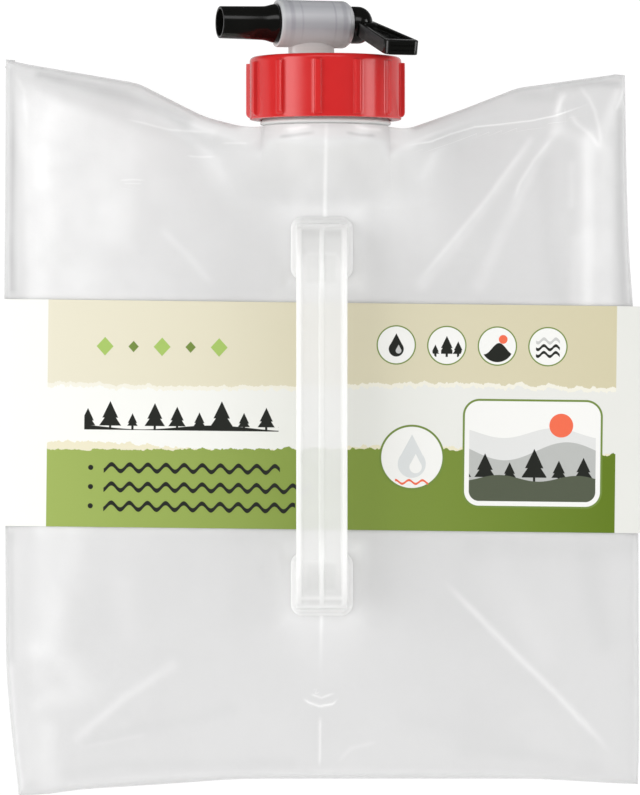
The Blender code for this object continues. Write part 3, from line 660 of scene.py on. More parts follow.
def relief(x, y):
    """The front's whitening, with its painted highlights and painted shade, and its height over the
    plain wall, in metres, from its folds.
    """
    folds_and_painted_light = 0.02 * noise2(x, y, 0.02, 7)
    height = 0.00030 * noise2(x, y, 0.019, 5) + 0.00014 * noise2(x, y, 0.0075, 6)
    blotches = 1 + 0.35 * noise2(x, y, 0.013, 8) + 0.15 * noise2(x, y, 0.005, 10)
    for level, edges in WHITENING_AND_HIGHLIGHT_FANS:
        share = np.ones(x.shape)
        for (ax, ay), (bx, by), soft in edges:
            length = math.hypot(bx - ax, by - ay)
            side = ((bx - ax) * (y / MM - ay) - (by - ay) * (x / MM - ax)) / length
            share = share * ease(side / soft * 0.5 + 0.5)
        folds_and_painted_light += level * share * blotches
    wisps = noise2(x + 0.2 * y, y * 0.4, 0.007, 3) * 0.6 + noise2(x, y * 0.5, 0.003, 4) * 0.2
    for line, start, end, white in FOLD_WHITE_AND_PAINTED_LIGHT_LINES:
        distance, along, _ = to_line(x, y, line)
        shape = bell_curve(distance, (start + (end - start) * along) * MM)
        folds_and_painted_light += white * shape * (1 + 0.3 * wisps)
        height += white * GLOW_HEIGHT * shape

    # The film lies flat under the sleeve and the pads, and is paler along their edges: painted
    # light that hides their shadows there
    from_sleeve = np.abs(y * math.cos(SLEEVE_TURN) - x * math.sin(SLEEVE_TURN)) - SLEEVE_HALF
    from_pad = np.maximum(np.abs(x - PAD_X) - PAD_HALF_X, np.abs(np.abs(y) - PAD_Y) - PAD_HALF_Y)
    clear = ease((from_sleeve - 0.0005) / 0.006)
    clear_pad = ease((from_pad - 0.0005) / 0.004)
    folds_and_painted_light += PAD_PAINTED_LIGHT * bell_curve(np.maximum(from_pad, 0), PAD_PAINTED_LIGHT_WIDTH)
    folds_and_painted_light += SLEEVE_PAINTED_LIGHT * bell_curve(from_sleeve, SLEEVE_PAINTED_LIGHT_WIDTH)
    bulge = BULGE * bell_curve(from_sleeve - BULGE_OUT, BULGE_WIDTH)
    height *= np.where(height < 0, clear, clear * clear_pad)
    return folds_and_painted_light, height + bulge * clear_pad


def edge_distance(x, y, lines):
    """Each point's distance to the nearest of some lines, which are given in metres."""
    return np.minimum.reduce([to_line(x, y, line / MM)[0] for line in lines])


def bag_front():
    """The front as a grid: places, whitening with painted light and shade, distance to the edges,
    and the arch's two ends.
    """
    bottom, top_x, top_y, angle, first, last = bag_columns()
    rows = edge_dense(ROW_STEPS, 2 * HALF_HEIGHT)
    r, c = np.meshgrid(rows, np.arange(len(bottom)), indexing="ij")
    left = read(LEFT_EDGE_SHARES, r) * HALF_WIDTH
    right = read(RIGHT_EDGE_SHARES, r) * HALF_WIDTH
    top_left = read(LEFT_EDGE_SHARES, 1.0) * HALF_WIDTH
    top_right = read(RIGHT_EDGE_SHARES, 1.0) * HALF_WIDTH
    top_place = (top_x[c] - top_left) / (top_right - top_left)
    across = bottom[c] + (top_place - bottom[c]) * r
    low = read(BOTTOM_EDGE_SHARES, bottom[c]) * HALF_HEIGHT
    x = left + (right - left) * across
    y = low + (top_y[c] - low) * r

    # The shoulder: an arch at the neck that turns into a wide bell below it
    away = np.clip((np.abs(top_x) - ARCH_R) / (HALF_WIDTH - ARCH_R), 0, 1)
    rise = (NECK_Z - FRONT_Z) * np.maximum(0, 1 - away / SHOULDER_FALL_SHARE) ** 2
    rise = np.where(np.isnan(angle), rise, NECK_Z + ARCH_R * np.cos(np.nan_to_num(angle)) - FRONT_Z)
    shoulder = ease(1 - (top_y[c] - y - FILM_COLLAR) / SHOULDER_LENGTH)
    held = shoulder**HELD_POWER
    bell = np.cos(np.minimum(1, np.abs(x) / BELL_HALF) * math.pi / 2) ** 2
    bell *= NECK_Z - FRONT_Z + ARCH_R
    z = FRONT_Z + shoulder * (rise[c] * held + bell * (1 - held))

    folds_and_painted_light, height = relief(x, y)
    spots = np.stack([x, y], -1)
    edge = edge_distance(x, y, (spots[::6, 0], spots[0, ::6], spots[::6, -1]))
    top_edge = edge_distance(x, y, (spots[-1, : first + 1 : 4], spots[-1, last::4]))
    clear_of_neck = ease((np.abs(x) - ARCH_R - 0.001) / 0.010)
    near = np.clip(1 - np.minimum(edge, top_edge + (1 - clear_of_neck) * EDGE_R * 2) / EDGE_R, 0, 1)
    drop = EDGE_R * (1 - np.sqrt(1 - near**2))
    settle = SETTLE * bell_curve(edge, SETTLE_WIDTH)
    fade = 1 - 0.75 * ease(shoulder * 1.2 - 0.1) * ease((0.07 - np.abs(x)) / 0.03)
    z += height * (1 - near) * fade - drop - settle * (1 - shoulder)
    return x, y, z, folds_and_painted_light * (1 - 0.7 * near), edge, first, last


def bag_mesh():
    """The film as one skin: front, folded side walls and rear, open only round the neck."""
    x, y, z, folds_and_painted_light, edge, first, last = bag_front()
    tall, wide = x.shape
    verts = list(np.stack([x, y, z], -1).reshape(-1, 3))
    tone = {"folds_and_painted_light": folds_and_painted_light}
    for n, creases in enumerate(CREASES):
        tone[f"crease_{n}"], tone[f"white_{n}"] = crease_fields(x, y, creases)
    faces = [
        (a, a + 1, a + wide + 1, a + wide)
        for i in range(tall - 1)
        for a in range(i * wide, (i + 1) * wide - 1)
    ]

    # Rings down the side walls, from the front's edge to the rear's
    stations = [(0, j) for j in range(wide)] + [(i, wide - 1) for i in range(1, tall)]
    stations += [(tall - 1, j) for j in range(wide - 2, -1, -1)]
    stations += [(i, 0) for i in range(tall - 2, 0, -1)]
    count = len(stations)
    outline = np.array([(x[s], y[s]) for s in stations])
    tangent = np.roll(outline, -1, 0) - np.roll(outline, 1, 0)
    tangent /= np.linalg.norm(tangent, axis=1)[:, None]
    inward = np.stack([-tangent[:, 1], tangent[:, 0]], -1)
    ring = []
    top_z = []
    for (i, j), (px, py) in zip(stations, outline):
        if i == tall - 1 and first < j < last:
            top_z.append(NECK_Z - math.sqrt(ARCH_R**2 - px**2))
            ring.append(len(verts))
            verts.append((px, py, top_z[-1]))
        else:
            top_z.append(z[i, j])
            ring.append(i * wide + j)
    top_z = np.array(top_z)
    levels = [top_z + (FOLD_HIGH_Z - top_z) * k / WALL_STEPS for k in range(1, WALL_STEPS + 1)]
    fold = np.linspace(FOLD_HIGH_Z, FOLD_LOW_Z, FOLD_STEPS + 1)[1:]
    levels += [np.full(count, level) for level in (*fold, REAR_Z)]
    middle = (REAR_HIGH[2] + FRONT_Z) / 2
    shares = [np.clip((level - REAR_HIGH[2]) / middle, 0, 1) for level in levels]
    depths = [FOLD_DEPTH * np.sin(np.pi * share) for share in shares]
    depths[-1] = np.full(count, REAR_INSET)
    for level, depth in zip(levels, depths):
        start = len(verts)
        verts += list(np.column_stack([outline + inward * depth[:, None], level]))
        for s in range(count):
            n = (s + 1) % count
            faces.append((ring[s], ring[n], start + n, start + s))
        ring = list(range(start, start + count))

    # The rear, with faces twice as wide
    rear = dict(zip(stations, ring))
    for i in range(2, tall - 1, 2):
        for j in range(2, wide - 1, 2):
            rear.setdefault((i, j), len(verts))
            lift = REAR_WAVE * (1 + noise2(x[i, j], y[i, j], 0.03, 9))
            verts.append((x[i, j], y[i, j], REAR_Z + lift * min(1.0, edge[i, j] / 0.01)))
    around = ((0, 0), (0, 1), (0, 2), (1, 2), (2, 2), (2, 1), (2, 0), (1, 0))
    for i in range(0, tall - 1, 2):
        for j in range(0, wide - 1, 2):
            corners = [rear.get((i + di, j + dj)) for di, dj in reversed(around)]
            faces.append([v for v in corners if v is not None])
    return verts, faces, tone


def make_bag(finish):
    verts, faces, tone = bag_mesh()
    bag = solid("bag_film", verts, faces)
    for name, values in tone.items():
        plain = FAR_ACROSS if name.startswith("crease") else 0.0
        values = list(values.reshape(-1))
        store(bag, name, values + [plain] * (len(verts) - len(values)))
    thicken(bag, FILM)
    bag.data.shade_smooth()
    dress(bag, finish, None, "film", "bag_front_wall", "bag_rear_wall", "bag_gusset")
    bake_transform(bag)


def film_finish():
    """Milky film, whiter and more opaque at its folds and fine creases and at its painted
    highlights, and darker at its painted shade.
    """
    film = Finish("film", (0.80, 0.80, 0.80), 0.33, 0.58, IOR=1.5)
    cloud = film.noise(22, 4.0, 0.6, (1.0, 0.55, 1.0)) - 0.5
    grain = film.noise(160, 2.0, 0.5, (1.0, 0.25, 1.0)) - 0.5
    folds_and_painted_light = film.attribute("folds_and_painted_light")

    def crease_whitening_and_painted_light(n):
        across = film.attribute(f"crease_{n}")
        return (across * across * -1.0).math("EXPONENT") * film.attribute(f"white_{n}")

    lines = crease_whitening_and_painted_light(0) + crease_whitening_and_painted_light(1) + crease_whitening_and_painted_light(2)
    folds_and_painted_light = folds_and_painted_light + lines
    white = (folds_and_painted_light + cloud * 0.06 + grain * 0.03 + 0.36).clamped()
    film.colour(film.mix(white, (0.662, 0.662, 0.665), (0.970, 0.970, 0.970)))
    film.feed("Alpha", (folds_and_painted_light * 0.35 + 0.58).clamped())
    film.feed("Roughness", cloud * 0.08 + 0.33)
    waves = film.noise(60, 4.0, 0.6) + film.noise(420, 2.0, 0.5) * 0.12 + lines * 1.5
    film.bump(waves, 0.25, 0.0012)
    return film


# Sleeve

PAPER = 0.0003
SLEEVE_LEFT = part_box("sleeve_left_fold")[0][0] + 0.0005
SLEEVE_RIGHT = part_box("sleeve_right_fold")[1][0] - 0.0005
SLEEVE_TOP = SLEEVE_HIGH[2]
SLEEVE_BEND = 0.0022
SLEEVE_ROWS = 44
SLEEVE_TUCK = 0.0004
SLEEVE_LIFT = 0.0007


def sleeve_path():
    """The sleeve's side outline, anticlockwise from the rear left: x, z and whether it is front."""
    left, right, radius, top = SLEEVE_LEFT, SLEEVE_RIGHT, SLEEVE_BEND, SLEEVE_TOP
    path = [(x, 0.0, 0.0) for x in np.linspace(left + radius, right - radius, 61)]

    def bend(cx, cz, begin, front):
        for k in range(1, 7):
            a = math.radians(begin + 15 * k)
            path.append((cx + radius * math.cos(a), cz + radius * math.sin(a), front))

    def side(x, inward, low, high):
        for z in np.linspace(low, high, 9)[1:-1]:
            tuck = SLEEVE_TUCK * math.sin(math.pi * z / top)
            path.append((x + inward * tuck, z, 1.0 if z > top / 2 else 0.0))

    bend(right - radius, radius, -90, 0.0)
    side(right, -1, radius, top - radius)
    bend(right - radius, top - radius, 0, 1.0)
    path += [(x, top, 1.0) for x in np.linspace(right - radius, left + radius, 151)[1:]]
    bend(left + radius, top - radius, 90, 1.0)
    side(left, 1, top - radius, radius)
    bend(left + radius, radius, 180, 0.0)
    return path[:-1]


def make_sleeve(finish):
    path = sleeve_path()
    verts = []
    prints = []
    for i in range(SLEEVE_ROWS + 1):
        v = SLEEVE_HALF * (2 * i / SLEEVE_ROWS - 1)
        for px, pz, front in path:
            z = pz
            if front and pz > SLEEVE_TOP - 1e-6:
                near_edge = ease((abs(v) / SLEEVE_HALF - 0.55) / 0.45)
                wave = 0.5 + 0.5 * noise2(px, v * 0.3, 0.021, 11 if v > 0 else 12)
                inside = ease(min(px - SLEEVE_LEFT, SLEEVE_RIGHT - px) / 0.02)
                z += SLEEVE_LIFT * float(near_edge * wave * inside)
            x = px * math.cos(SLEEVE_TURN) - v * math.sin(SLEEVE_TURN)
            y = px * math.sin(SLEEVE_TURN) + v * math.cos(SLEEVE_TURN)
            verts.append((x, y, z))
            prints.append((px, v, front))
    sleeve = solid("paper_sleeve", verts, tube(SLEEVE_ROWS + 1, len(path)))
    attribute = sleeve.data.attributes.new("print_place", "FLOAT_VECTOR", "POINT")
    attribute.data.foreach_set("vector", np.array(prints, np.float32).reshape(-1))
    girth = sum(math.dist(a[:2], b[:2]) for a, b in zip(path, path[1:] + path[:1]))
    thicken(sleeve, PAPER)
    smooth(sleeve, 50)
    nodes = ("sleeve_front", "sleeve_rear", "sleeve_left_fold", "sleeve_right_fold")
    dress(sleeve, finish, None, "paper", *nodes)
    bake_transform(sleeve)


# Print, in millimetres on the sleeve's front: a generic design of torn bands, firs, waves and drops
PANEL_LEFT, PANEL_RIGHT = -107.3, 112.0
SOFT = 0.12
MARK_Y = 27.8
BLACK = (0.016, 0.018, 0.014)
WHITE = (0.760, 0.760, 0.738)
GREY = (0.500, 0.505, 0.495)
RIM = (0.150, 0.230, 0.040)
ORANGE = (0.760, 0.130, 0.060)


def rounded_box(x, y, centre, half, radius):
    dx = (abs(x - centre[0]) - (half[0] - radius)).high(0.0)
    dy = (abs(y - centre[1]) - (half[1] - radius)).high(0.0)
    return dx.length(dy) - radius


def disc(x, y, centre, radius):
    return (x - centre[0]).length(y - centre[1]) - radius


def drop_shape(x, y, centre, radius):
    """A drop with a round foot and a pointed top."""
    dx, dy = x - centre[0], y - centre[1]
    cone = (abs(dx) * 1.9 + dy - radius * 2.1).high(dy * -1.0 + radius * 0.35)
    return dx.length(dy).math("SUBTRACT", radius).low(cone)


def firs(x, y, foot, spacing, height, phase):
    """A row of firs of unlike height, each two stacked triangles over a stem."""
    shifted = x / spacing + phase
    cell = shifted.math("FLOOR")
    across = abs(shifted - cell - 0.5) * spacing
    tall = (cell * 2.4 + 1.0).sine() * (0.22 * height) + height * 0.78
    up = y - foot
    lower = (across * 1.5 + up - tall * 0.72).high(up * -1.0 + height * 0.14)
    upper = (across * 2.1 + up - tall).high(up * -1.0 + tall * 0.42)
    stem = (across - 0.45).high(up * -1.0).high(up - height * 0.3)
    return lower.low(upper).low(stem)


def wave_line(x, y, centre, half_length, length, height, half_width):
    crest = (x * (math.tau / length)).sine() * height
    return (abs(y - centre[1] - crest) - half_width).high(abs(x - centre[0]) - half_length)


def print_layers(x, y, finish):
    """The print's layers from the lowest up: (mask, colour)."""
    layers = []

    def add(colour, *masks):
        mask = masks[0]
        for other in masks[1:]:
            mask = mask.high(other)
        layers.append((mask, colour))

    def torn(scale, seed):
        node = finish.nodes.new("ShaderNodeTexNoise")
        node.noise_dimensions = "1D"
        node.inputs["Detail"].default_value = 5.0
        node.inputs["Roughness"].default_value = 0.62
        node.inputs["Scale"].default_value = scale
        finish.links.new((x + seed).socket, node.inputs["W"])
        return Term(finish, node.outputs["Fac"]) - 0.5

    # Torn bands
    panel = (x * -1.0 + PANEL_LEFT).high(x - PANEL_RIGHT)
    share = (x / (PANEL_RIGHT - PANEL_LEFT) + 0.5).clamped()
    beige_edge = torn(0.16, 10.0) * 4.5 + (x * 0.030).sine() * 1.2 + 12.2
    green_edge = torn(0.18, 90.0) * 3.6 + (x * 0.024 + 1.0).sine() * 0.8 - 13.2
    strip_edge = torn(0.25, 130.0) * 3.5 + (x * 0.05).sine() * 1.5 - 12.3
    add((0.740, 0.722, 0.630), panel, y * -1.0 + beige_edge - 1.6 + torn(0.4, 55.0) * 3.0)
    # The beige and green bands are lighter towards the left: a painted sheen over the print
    beige_with_painted_sheen = finish.mix(share, (0.680, 0.648, 0.515), (0.556, 0.512, 0.345))
    add(beige_with_painted_sheen, panel, y * -1.0 + beige_edge)
    add((0.700, 0.660, 0.490), panel, y - strip_edge)
    green_with_painted_sheen = finish.mix(share, (0.300, 0.388, 0.090), (0.108, 0.178, 0.006))
    add(green_with_painted_sheen, panel, y - green_edge)

    # On the left a row of firs, three waves with dots, and five lozenges
    add(BLACK, firs(x, y, -6.2, 8.6, 11.5, 0.15), rounded_box(x, y, (-55.5, 0), (37.5, 9), 0.1))
    ground = y + 5.0 - (x * 0.11).sine() * 0.9
    add(BLACK, ground, rounded_box(x, y, (-55.5, 0), (37.5, 6.2), 0.1))
    for level, half in ((-20.8, 34.0), (-28.2, 40.0), (-35.6, 37.0)):
        add(BLACK, wave_line(x, y, (PANEL_LEFT + 22.0 + half, level), half, 7.0, 1.3, 0.85))
        add(BLACK, disc(x, y, (PANEL_LEFT + 17.0, level), 1.0))
    for n in range(5):
        size, colour = (2.2, RIM) if n % 2 else (3.6, (0.330, 0.480, 0.110))
        add(colour, abs(x - (PANEL_LEFT + 22.0 + 11.0 * n)) * 1.1 + abs(y - 26.0) - size)

    # Four small round marks: drop, firs, hill and waves
    drop_x, fir_x, hill_x, wave_x = (27.0 + 19.5 * n for n in range(4))
    for mark_x in (drop_x, fir_x, hill_x, wave_x):
        add(RIM, disc(x, y, (mark_x, MARK_Y), 7.6))
        add(WHITE, disc(x, y, (mark_x, MARK_Y), 7.1))
    add(BLACK, drop_shape(x, y, (drop_x, MARK_Y - 1.6), 2.9))
    add(GREY, drop_shape(x, y, (drop_x + 0.9, MARK_Y - 2.2), 1.1))
    add(BLACK, firs(x - fir_x, y, MARK_Y - 4.4, 4.4, 8.4, 0.5), disc(x, y, (fir_x, MARK_Y), 6.2))
    add(ORANGE, disc(x, y, (hill_x + 2.2, MARK_Y + 2.6), 1.7))
    hill = y - MARK_Y + 1.0 - ((x - hill_x) * 0.55 + 1.2).sine() * 2.2
    add(BLACK, hill, disc(x, y, (hill_x, MARK_Y), 6.2))
    for up, tint in ((2.2, GREY), (-0.4, BLACK), (-3.0, BLACK)):
        line = wave_line(x, y, (wave_x, MARK_Y + up), 4.6, 4.6, 0.8, 0.6)
        add(tint, line, disc(x, y, (wave_x, MARK_Y), 6.2))

    # A framed landscape, and a round frame with a drop
    cx, cy = 80.0, -13.6
    frame_shape = rounded_box(x, y, (cx, cy), (27.0, 21.0), 6.5)
    window = frame_shape + 2.6
    add(RIM, frame_shape)
    add(WHITE, frame_shape + 0.8)
    add((0.640, 0.645, 0.635), y - cy - 8.0 - (x * 0.16).sine() * 2.0, window)
    add(ORANGE, disc(x, y, (cx + 11.0, cy + 11.0), 4.6), window)
    add((0.420, 0.430, 0.415), y - cy - 1.0 - (x * 0.13 + 2.0).sine() * 3.6, window)
    add(BLACK, firs(x, y, cy - 11.0, 9.5, 13.0, 0.0), window)
    add((0.080, 0.095, 0.060), y - cy + 9.5 - (x * 0.21).sine() * 1.2, window)
    round_frame = disc(x, y, (33.5, -15.5), 12.6)
    add(RIM, round_frame)
    add(WHITE, round_frame + 0.8)
    add((0.600, 0.620, 0.620), drop_shape(x, y, (33.5, -18.0), 5.4))
    add(WHITE, drop_shape(x, y, (35.0, -19.2), 2.4))
    add(ORANGE, wave_line(x, y, (33.5, -25.0), 6.4, 5.2, 0.7, 0.45))
    return layers


def paper_finish():
    """Paper with the print on its front, and a painted sheen that makes it lighter towards the
    left.
    """
    paper = Finish("paper", (0.85, 0.85, 0.83), 0.42, Specular_IOR_Level=0.3)
    node = paper.nodes.new("ShaderNodeAttribute")
    node.attribute_name = "print_place"
    x, y, front = paper.split(node.outputs["Vector"])
    x, y = x * TO_MM, y * TO_MM
    base = paper.mix(paper.noise(35, 3.0), (0.655, 0.660, 0.625), (0.685, 0.688, 0.655))
    # Painted sheen: lighter towards the left
    painted_sheen = (x / -230.0 + 0.30).clamped() * 0.9
    base = paper.mix(painted_sheen, base, (0.83, 0.835, 0.80))
    for mask, colour in print_layers(x, y, paper):
        base = paper.mix(mask.inside(SOFT) * front, base, colour)
    paper.colour(base)
    paper.feed("Roughness", paper.noise(120, 3.0) * 0.12 + 0.36)
    paper.bump(paper.noise(900, 4.0, 0.7) * 0.3 + paper.noise(45, 3.0), 0.12, 0.0008)
    return paper


# Handle

HANDLE_X = (STRAP_LOW[0] + STRAP_HIGH[0]) / 2
STRAP_HALF = (STRAP_HIGH[0] - STRAP_LOW[0]) / 2
STRAP_TOP = STRAP_HIGH[2]
STRAP_THICK = 0.0045
STRAP_FOOT = STRAP_LOW[2]
STRAP_END = STRAP_HIGH[1]
FOOT_INNER = 0.0615
OUTER_SLOPE_SHARES = ((0.0, 0.0), (0.04, 0.3), (0.16, 0.6), (0.36, 0.82), (0.65, 0.96), (1.0, 1.0))
INNER_SLOPE_SHARES = ((0.0, 0.0), (0.1, 0.36), (0.3, 0.7), (0.62, 0.93), (1.0, 1.0))
OUTER_RUN, INNER_RUN = 0.025, 0.013
EDGE_ROUND = 0.0006
RIM_WIDTH = 0.0021
RIM_HEIGHT = 0.0009
RIM_IN = STRAP_HALF - RIM_WIDTH
BEAD_HALF = 0.0010
BEAD_HEIGHT = 0.0004
WINDOW_Y_UPPER, WINDOW_Y_LOWER = 0.0563, 0.0612
WINDOW_HALF_X, WINDOW_HALF_Y = 0.0066, 0.0062
WINDOW_DEPTH, WINDOW_SOFT = 0.0003, 0.0022
BAR_Y = -0.0695
PAD_CORNER_R = 0.0046
# The pads' flanks from the foot up: inset, share of the height, whitening, share of full opacity.
# The whitening is the pad's own paler plastic, with painted light at the foot that hides the shade
# where the pad meets the film.
PAD_FLANKS = (
    (0.0, 0.0, 0.6, 0.6), (0.0003, 0.06, 0.65, 0.6), (0.0006, 0.22, 0.7, 0.6),
    (0.0009, 0.46, 0.7, 0.45), (0.0012, 0.69, 0.7, 0.3), (0.0016, 0.87, 0.65, 0.15),
    (0.0021, 0.97, 0.6, 0.0), (0.0030, 1.0, 0.5, 0.0), (0.0040, 1.0, 0.4, 0.0),
)


def monotone(table, at):
    """A smooth curve through a table's points."""
    px, py = (np.array(v) for v in zip(*table))
    slopes = np.gradient(py, px)
    k = np.clip(np.searchsorted(px, at, side="right") - 1, 0, len(px) - 2)
    h = px[k + 1] - px[k]
    t = np.clip((at - px[k]) / h, 0, 1)
    a, b = 2 * t**3 - 3 * t**2 + 1, t**3 - 2 * t**2 + t
    return a * py[k] + b * h * slopes[k] + (1 - a) * py[k + 1] + (t**3 - t**2) * h * slopes[k + 1]


def strap_heights(y):
    """The strap's top and underside at a distance from its middle."""
    y = np.abs(y)
    outer = monotone(OUTER_SLOPE_SHARES, np.clip((STRAP_END - y) / OUTER_RUN, 0, 1))
    inner = monotone(INNER_SLOPE_SHARES, np.clip((FOOT_INNER - y) / INNER_RUN, 0, 1))
    top = STRAP_FOOT + (STRAP_TOP - STRAP_FOOT) * outer
    under = STRAP_FOOT + (STRAP_TOP - STRAP_THICK - STRAP_FOOT) * inner
    return top, np.where(y >= FOOT_INNER, STRAP_FOOT, under)


def window_share(x, y):
    """1 in the two windows over the pads, with soft edges, and 0 outside."""
    reach = np.abs(np.abs(y) - np.where(y > 0, WINDOW_Y_UPPER, WINDOW_Y_LOWER))
    edge = np.maximum(np.abs(x) - WINDOW_HALF_X, reach - WINDOW_HALF_Y)
    return ease(-edge / WINDOW_SOFT)


def strap_columns():
    """Places across the strap, close together at its rounded edges, its rims and its bead."""
    half = [STRAP_HALF - EDGE_ROUND * (1 - math.sin(a)) for a in np.linspace(0, math.pi / 2, 5)]
    half += [RIM_IN + d for d in (0, -0.0003, -0.0007, 0.0005, 0.0010)]
    half += list(np.linspace(0, RIM_IN - 0.0009, 12))
    half += [BEAD_HALF * share for share in (0, 0.12, 0.3, 0.55, 0.85, 1.0)]
    half += [BEAD_HALF + 0.0004, BEAD_HALF + 0.0009]
    half = sorted({round(v, 7) for v in half})
    return np.array([-v for v in reversed(half) if v > 0] + half)


def make_strap(finish):
    """The strap: rims and a bead over a sunk top, and its tones stored for the finish."""
    xs = strap_columns()
    half = np.concatenate([
        np.linspace(0, 0.046, 28),
        np.linspace(0.046, FOOT_INNER, 26)[1:],
        np.linspace(FOOT_INNER, STRAP_END - 0.001, 22)[1:],
        STRAP_END - 0.001 * np.array([0.7, 0.45, 0.25, 0.1, 0.0]),
    ])
    ys = np.concatenate([-half[::-1], half[1:]])
    rim = ease((np.abs(xs) - RIM_IN + 0.0005) / 0.0010)
    bead = ease((BEAD_HALF + 0.0003 - np.abs(xs)) / 0.0008)
    sunk = RIM_HEIGHT * (1 - rim) - BEAD_HEIGHT * bead
    near = np.clip((np.abs(xs) - STRAP_HALF + EDGE_ROUND) / EDGE_ROUND, 0, 1)
    rounding = EDGE_ROUND * (1 - np.sqrt(1 - near**2))
    verts = []
    tone = {"pale_and_painted_light": [], "over_pad": [], "dim": [], "full": []}
    for y, high, low in zip(ys, *strap_heights(ys)):
        thick = high - low
        room = min(1.0, max(0.0, thick - 0.0008) / 0.002)
        window = window_share(xs, y)
        depth = (sunk + WINDOW_DEPTH * window * (1 - bead)) * room + rounding
        verts += [(HANDLE_X + x, y, max(high - d, low + 0.0002)) for x, d in zip(xs, depth)]
        verts += [(HANDLE_X + x, y, low + min(d, thick * 0.3)) for x, d in zip(xs, rounding)]
        to_end = STRAP_END - abs(y)
        over_pad = ease((abs(y) - 0.044) / 0.012)
        # The strap's end is paler: painted light that hides the shade where it stands on the pad
        end = 0.8 * ease((0.0035 - to_end) / 0.0025)
        bar = 0.7 * bell_curve(y - BAR_Y, 0.0009)
        pale_and_painted_light = np.maximum(np.maximum(0.7 * rim, (0.15 + 0.5 * over_pad) * bead), max(end, bar))
        full = ease((0.0022 - to_end) / 0.0014)
        for name, values in zip(tone, (pale_and_painted_light, over_pad, ease(window), full)):
            tone[name] += list(np.broadcast_to(values, xs.shape)) * 2
    count = len(xs)
    faces = []
    for i in range(len(ys) - 1):
        a, b = i * 2 * count, (i + 1) * 2 * count
        for k in range(count - 1):
            faces.append((a + k, a + k + 1, b + k + 1, b + k))
            faces.append((a + count + k, b + count + k, b + count + k + 1, a + count + k + 1))
        faces.append((a, b, b + count, a + count))
        faces.append((a + count - 1, a + 2 * count - 1, b + 2 * count - 1, b + count - 1))
    for start in (0, (len(ys) - 1) * 2 * count):
        loop = list(range(start, start + count))
        faces.append(loop + list(range(start + 2 * count - 1, start + count - 1, -1)))
    strap = solid("strap", verts, faces)
    for name, values in tone.items():
        store(strap, name, values)
    smooth(strap, 40)
    dress(strap, finish, "front", "handle_plastic", "handle_strap")


def make_pad(name, node, finish):
    """A moulded pad whose skirt runs out softly onto the film."""
    low, high = np.array(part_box(node))
    middle = (low + high) / 2
    corner = (high - low) / 2 - PAD_CORNER_R
    verts = []
    pale_and_painted_light = []
    full = []
    for inset, height, whiteness, fullness in PAD_FLANKS:
        for n, (sx, sy) in enumerate(((1, 1), (-1, 1), (-1, -1), (1, -1))):
            for k in range(13):
                a = math.pi / 2 * (n + k / 12)
                r = PAD_CORNER_R - inset
                x = middle[0] + sx * corner[0] + r * math.cos(a)
                y = middle[1] + sy * corner[1] + r * math.sin(a)
                verts.append((x, y, low[2] + height * (high[2] - low[2])))
                pale_and_painted_light.append(whiteness)
                full.append(fullness)
    count = len(verts) // len(PAD_FLANKS)
    faces = [list(range(count))[::-1], list(range(len(verts) - count, len(verts)))]
    pad = solid(name, verts, faces + tube(len(PAD_FLANKS), count))
    for attribute, values in (("pale_and_painted_light", pale_and_painted_light), ("full", full), ("over_pad", [1.0] * len(verts))):
        store(pad, attribute, values)
    smooth(pad, 50)
    dress(pad, finish, "front", "handle_plastic", node)


def handle_finish():
    """Milky plastic: paler on rims, dimmer in the windows, more opaque at feet and ends, with
    painted light at the feet, at the strap's ends and over the pads that hides the shade there.
    """
    handle = Finish("handle_plastic", (0.90, 0.905, 0.90), 0.33, 0.62, IOR=1.5)
    pale_and_painted_light = handle.attribute("pale_and_painted_light")
    base = handle.mix(handle.noise(70, 3.0), (0.750, 0.752, 0.745), (0.800, 0.802, 0.795))
    # Over the pads the strap and pads are lighter: painted light that evens out the shade on the
    # strap's sloping ends
    base = handle.mix(handle.attribute("over_pad") * 0.6, base, (0.830, 0.832, 0.828))
    base = handle.mix(handle.attribute("dim") * 0.35, base, (0.690, 0.695, 0.685))
    handle.colour(handle.mix(pale_and_painted_light, base, (0.960, 0.960, 0.955)))
    handle.feed("Alpha", pale_and_painted_light * 0.12 + handle.attribute("full") * 0.22 + 0.62)
    handle.feed("Roughness", handle.noise(180, 2.0) * 0.08 + 0.29)
    handle.bump(handle.noise(260, 3.0, 0.6), 0.08, 0.0006)
    return handle


# Neck, cap and gasket

CAP_HEIGHT = CAP_HIGH[1] - CAP_LOW[1]
CAP_R = 0.029
RIB_COUNT = 12
RIB_HALF = 0.00125
RIB_FLANK = 0.00055
RIB_PROUD = 0.00145
RIB_PHASE = math.radians(-5.7)
RIB_FOOT, RIB_RISE = 0.0009, 0.0019
RIB_TOP_DROP = 0.0023
CAP_ROUND = 0.0017
STEP_R, STEP_DROP = 0.0242, 0.00012
NECK_BORE_R = 0.0205
LIP_BORE_R = 0.0205
CAP_BORE_R = 0.0254
CAP_LIP = 0.0025
PITCH = 0.006
THREAD_TURNS = 1.5
BEAD_R = 0.0012
BEAD_POINTS, BEAD_SIDES = 64, 12
RIM_TOP = NECK_HIGH[1]
THREAD_FOOT = (RIM_TOP - CAP_FOOT.y - PITCH * THREAD_TURNS) / 2


def to_cap(obj):
    return place(obj, Matrix.Translation(CAP_FOOT))


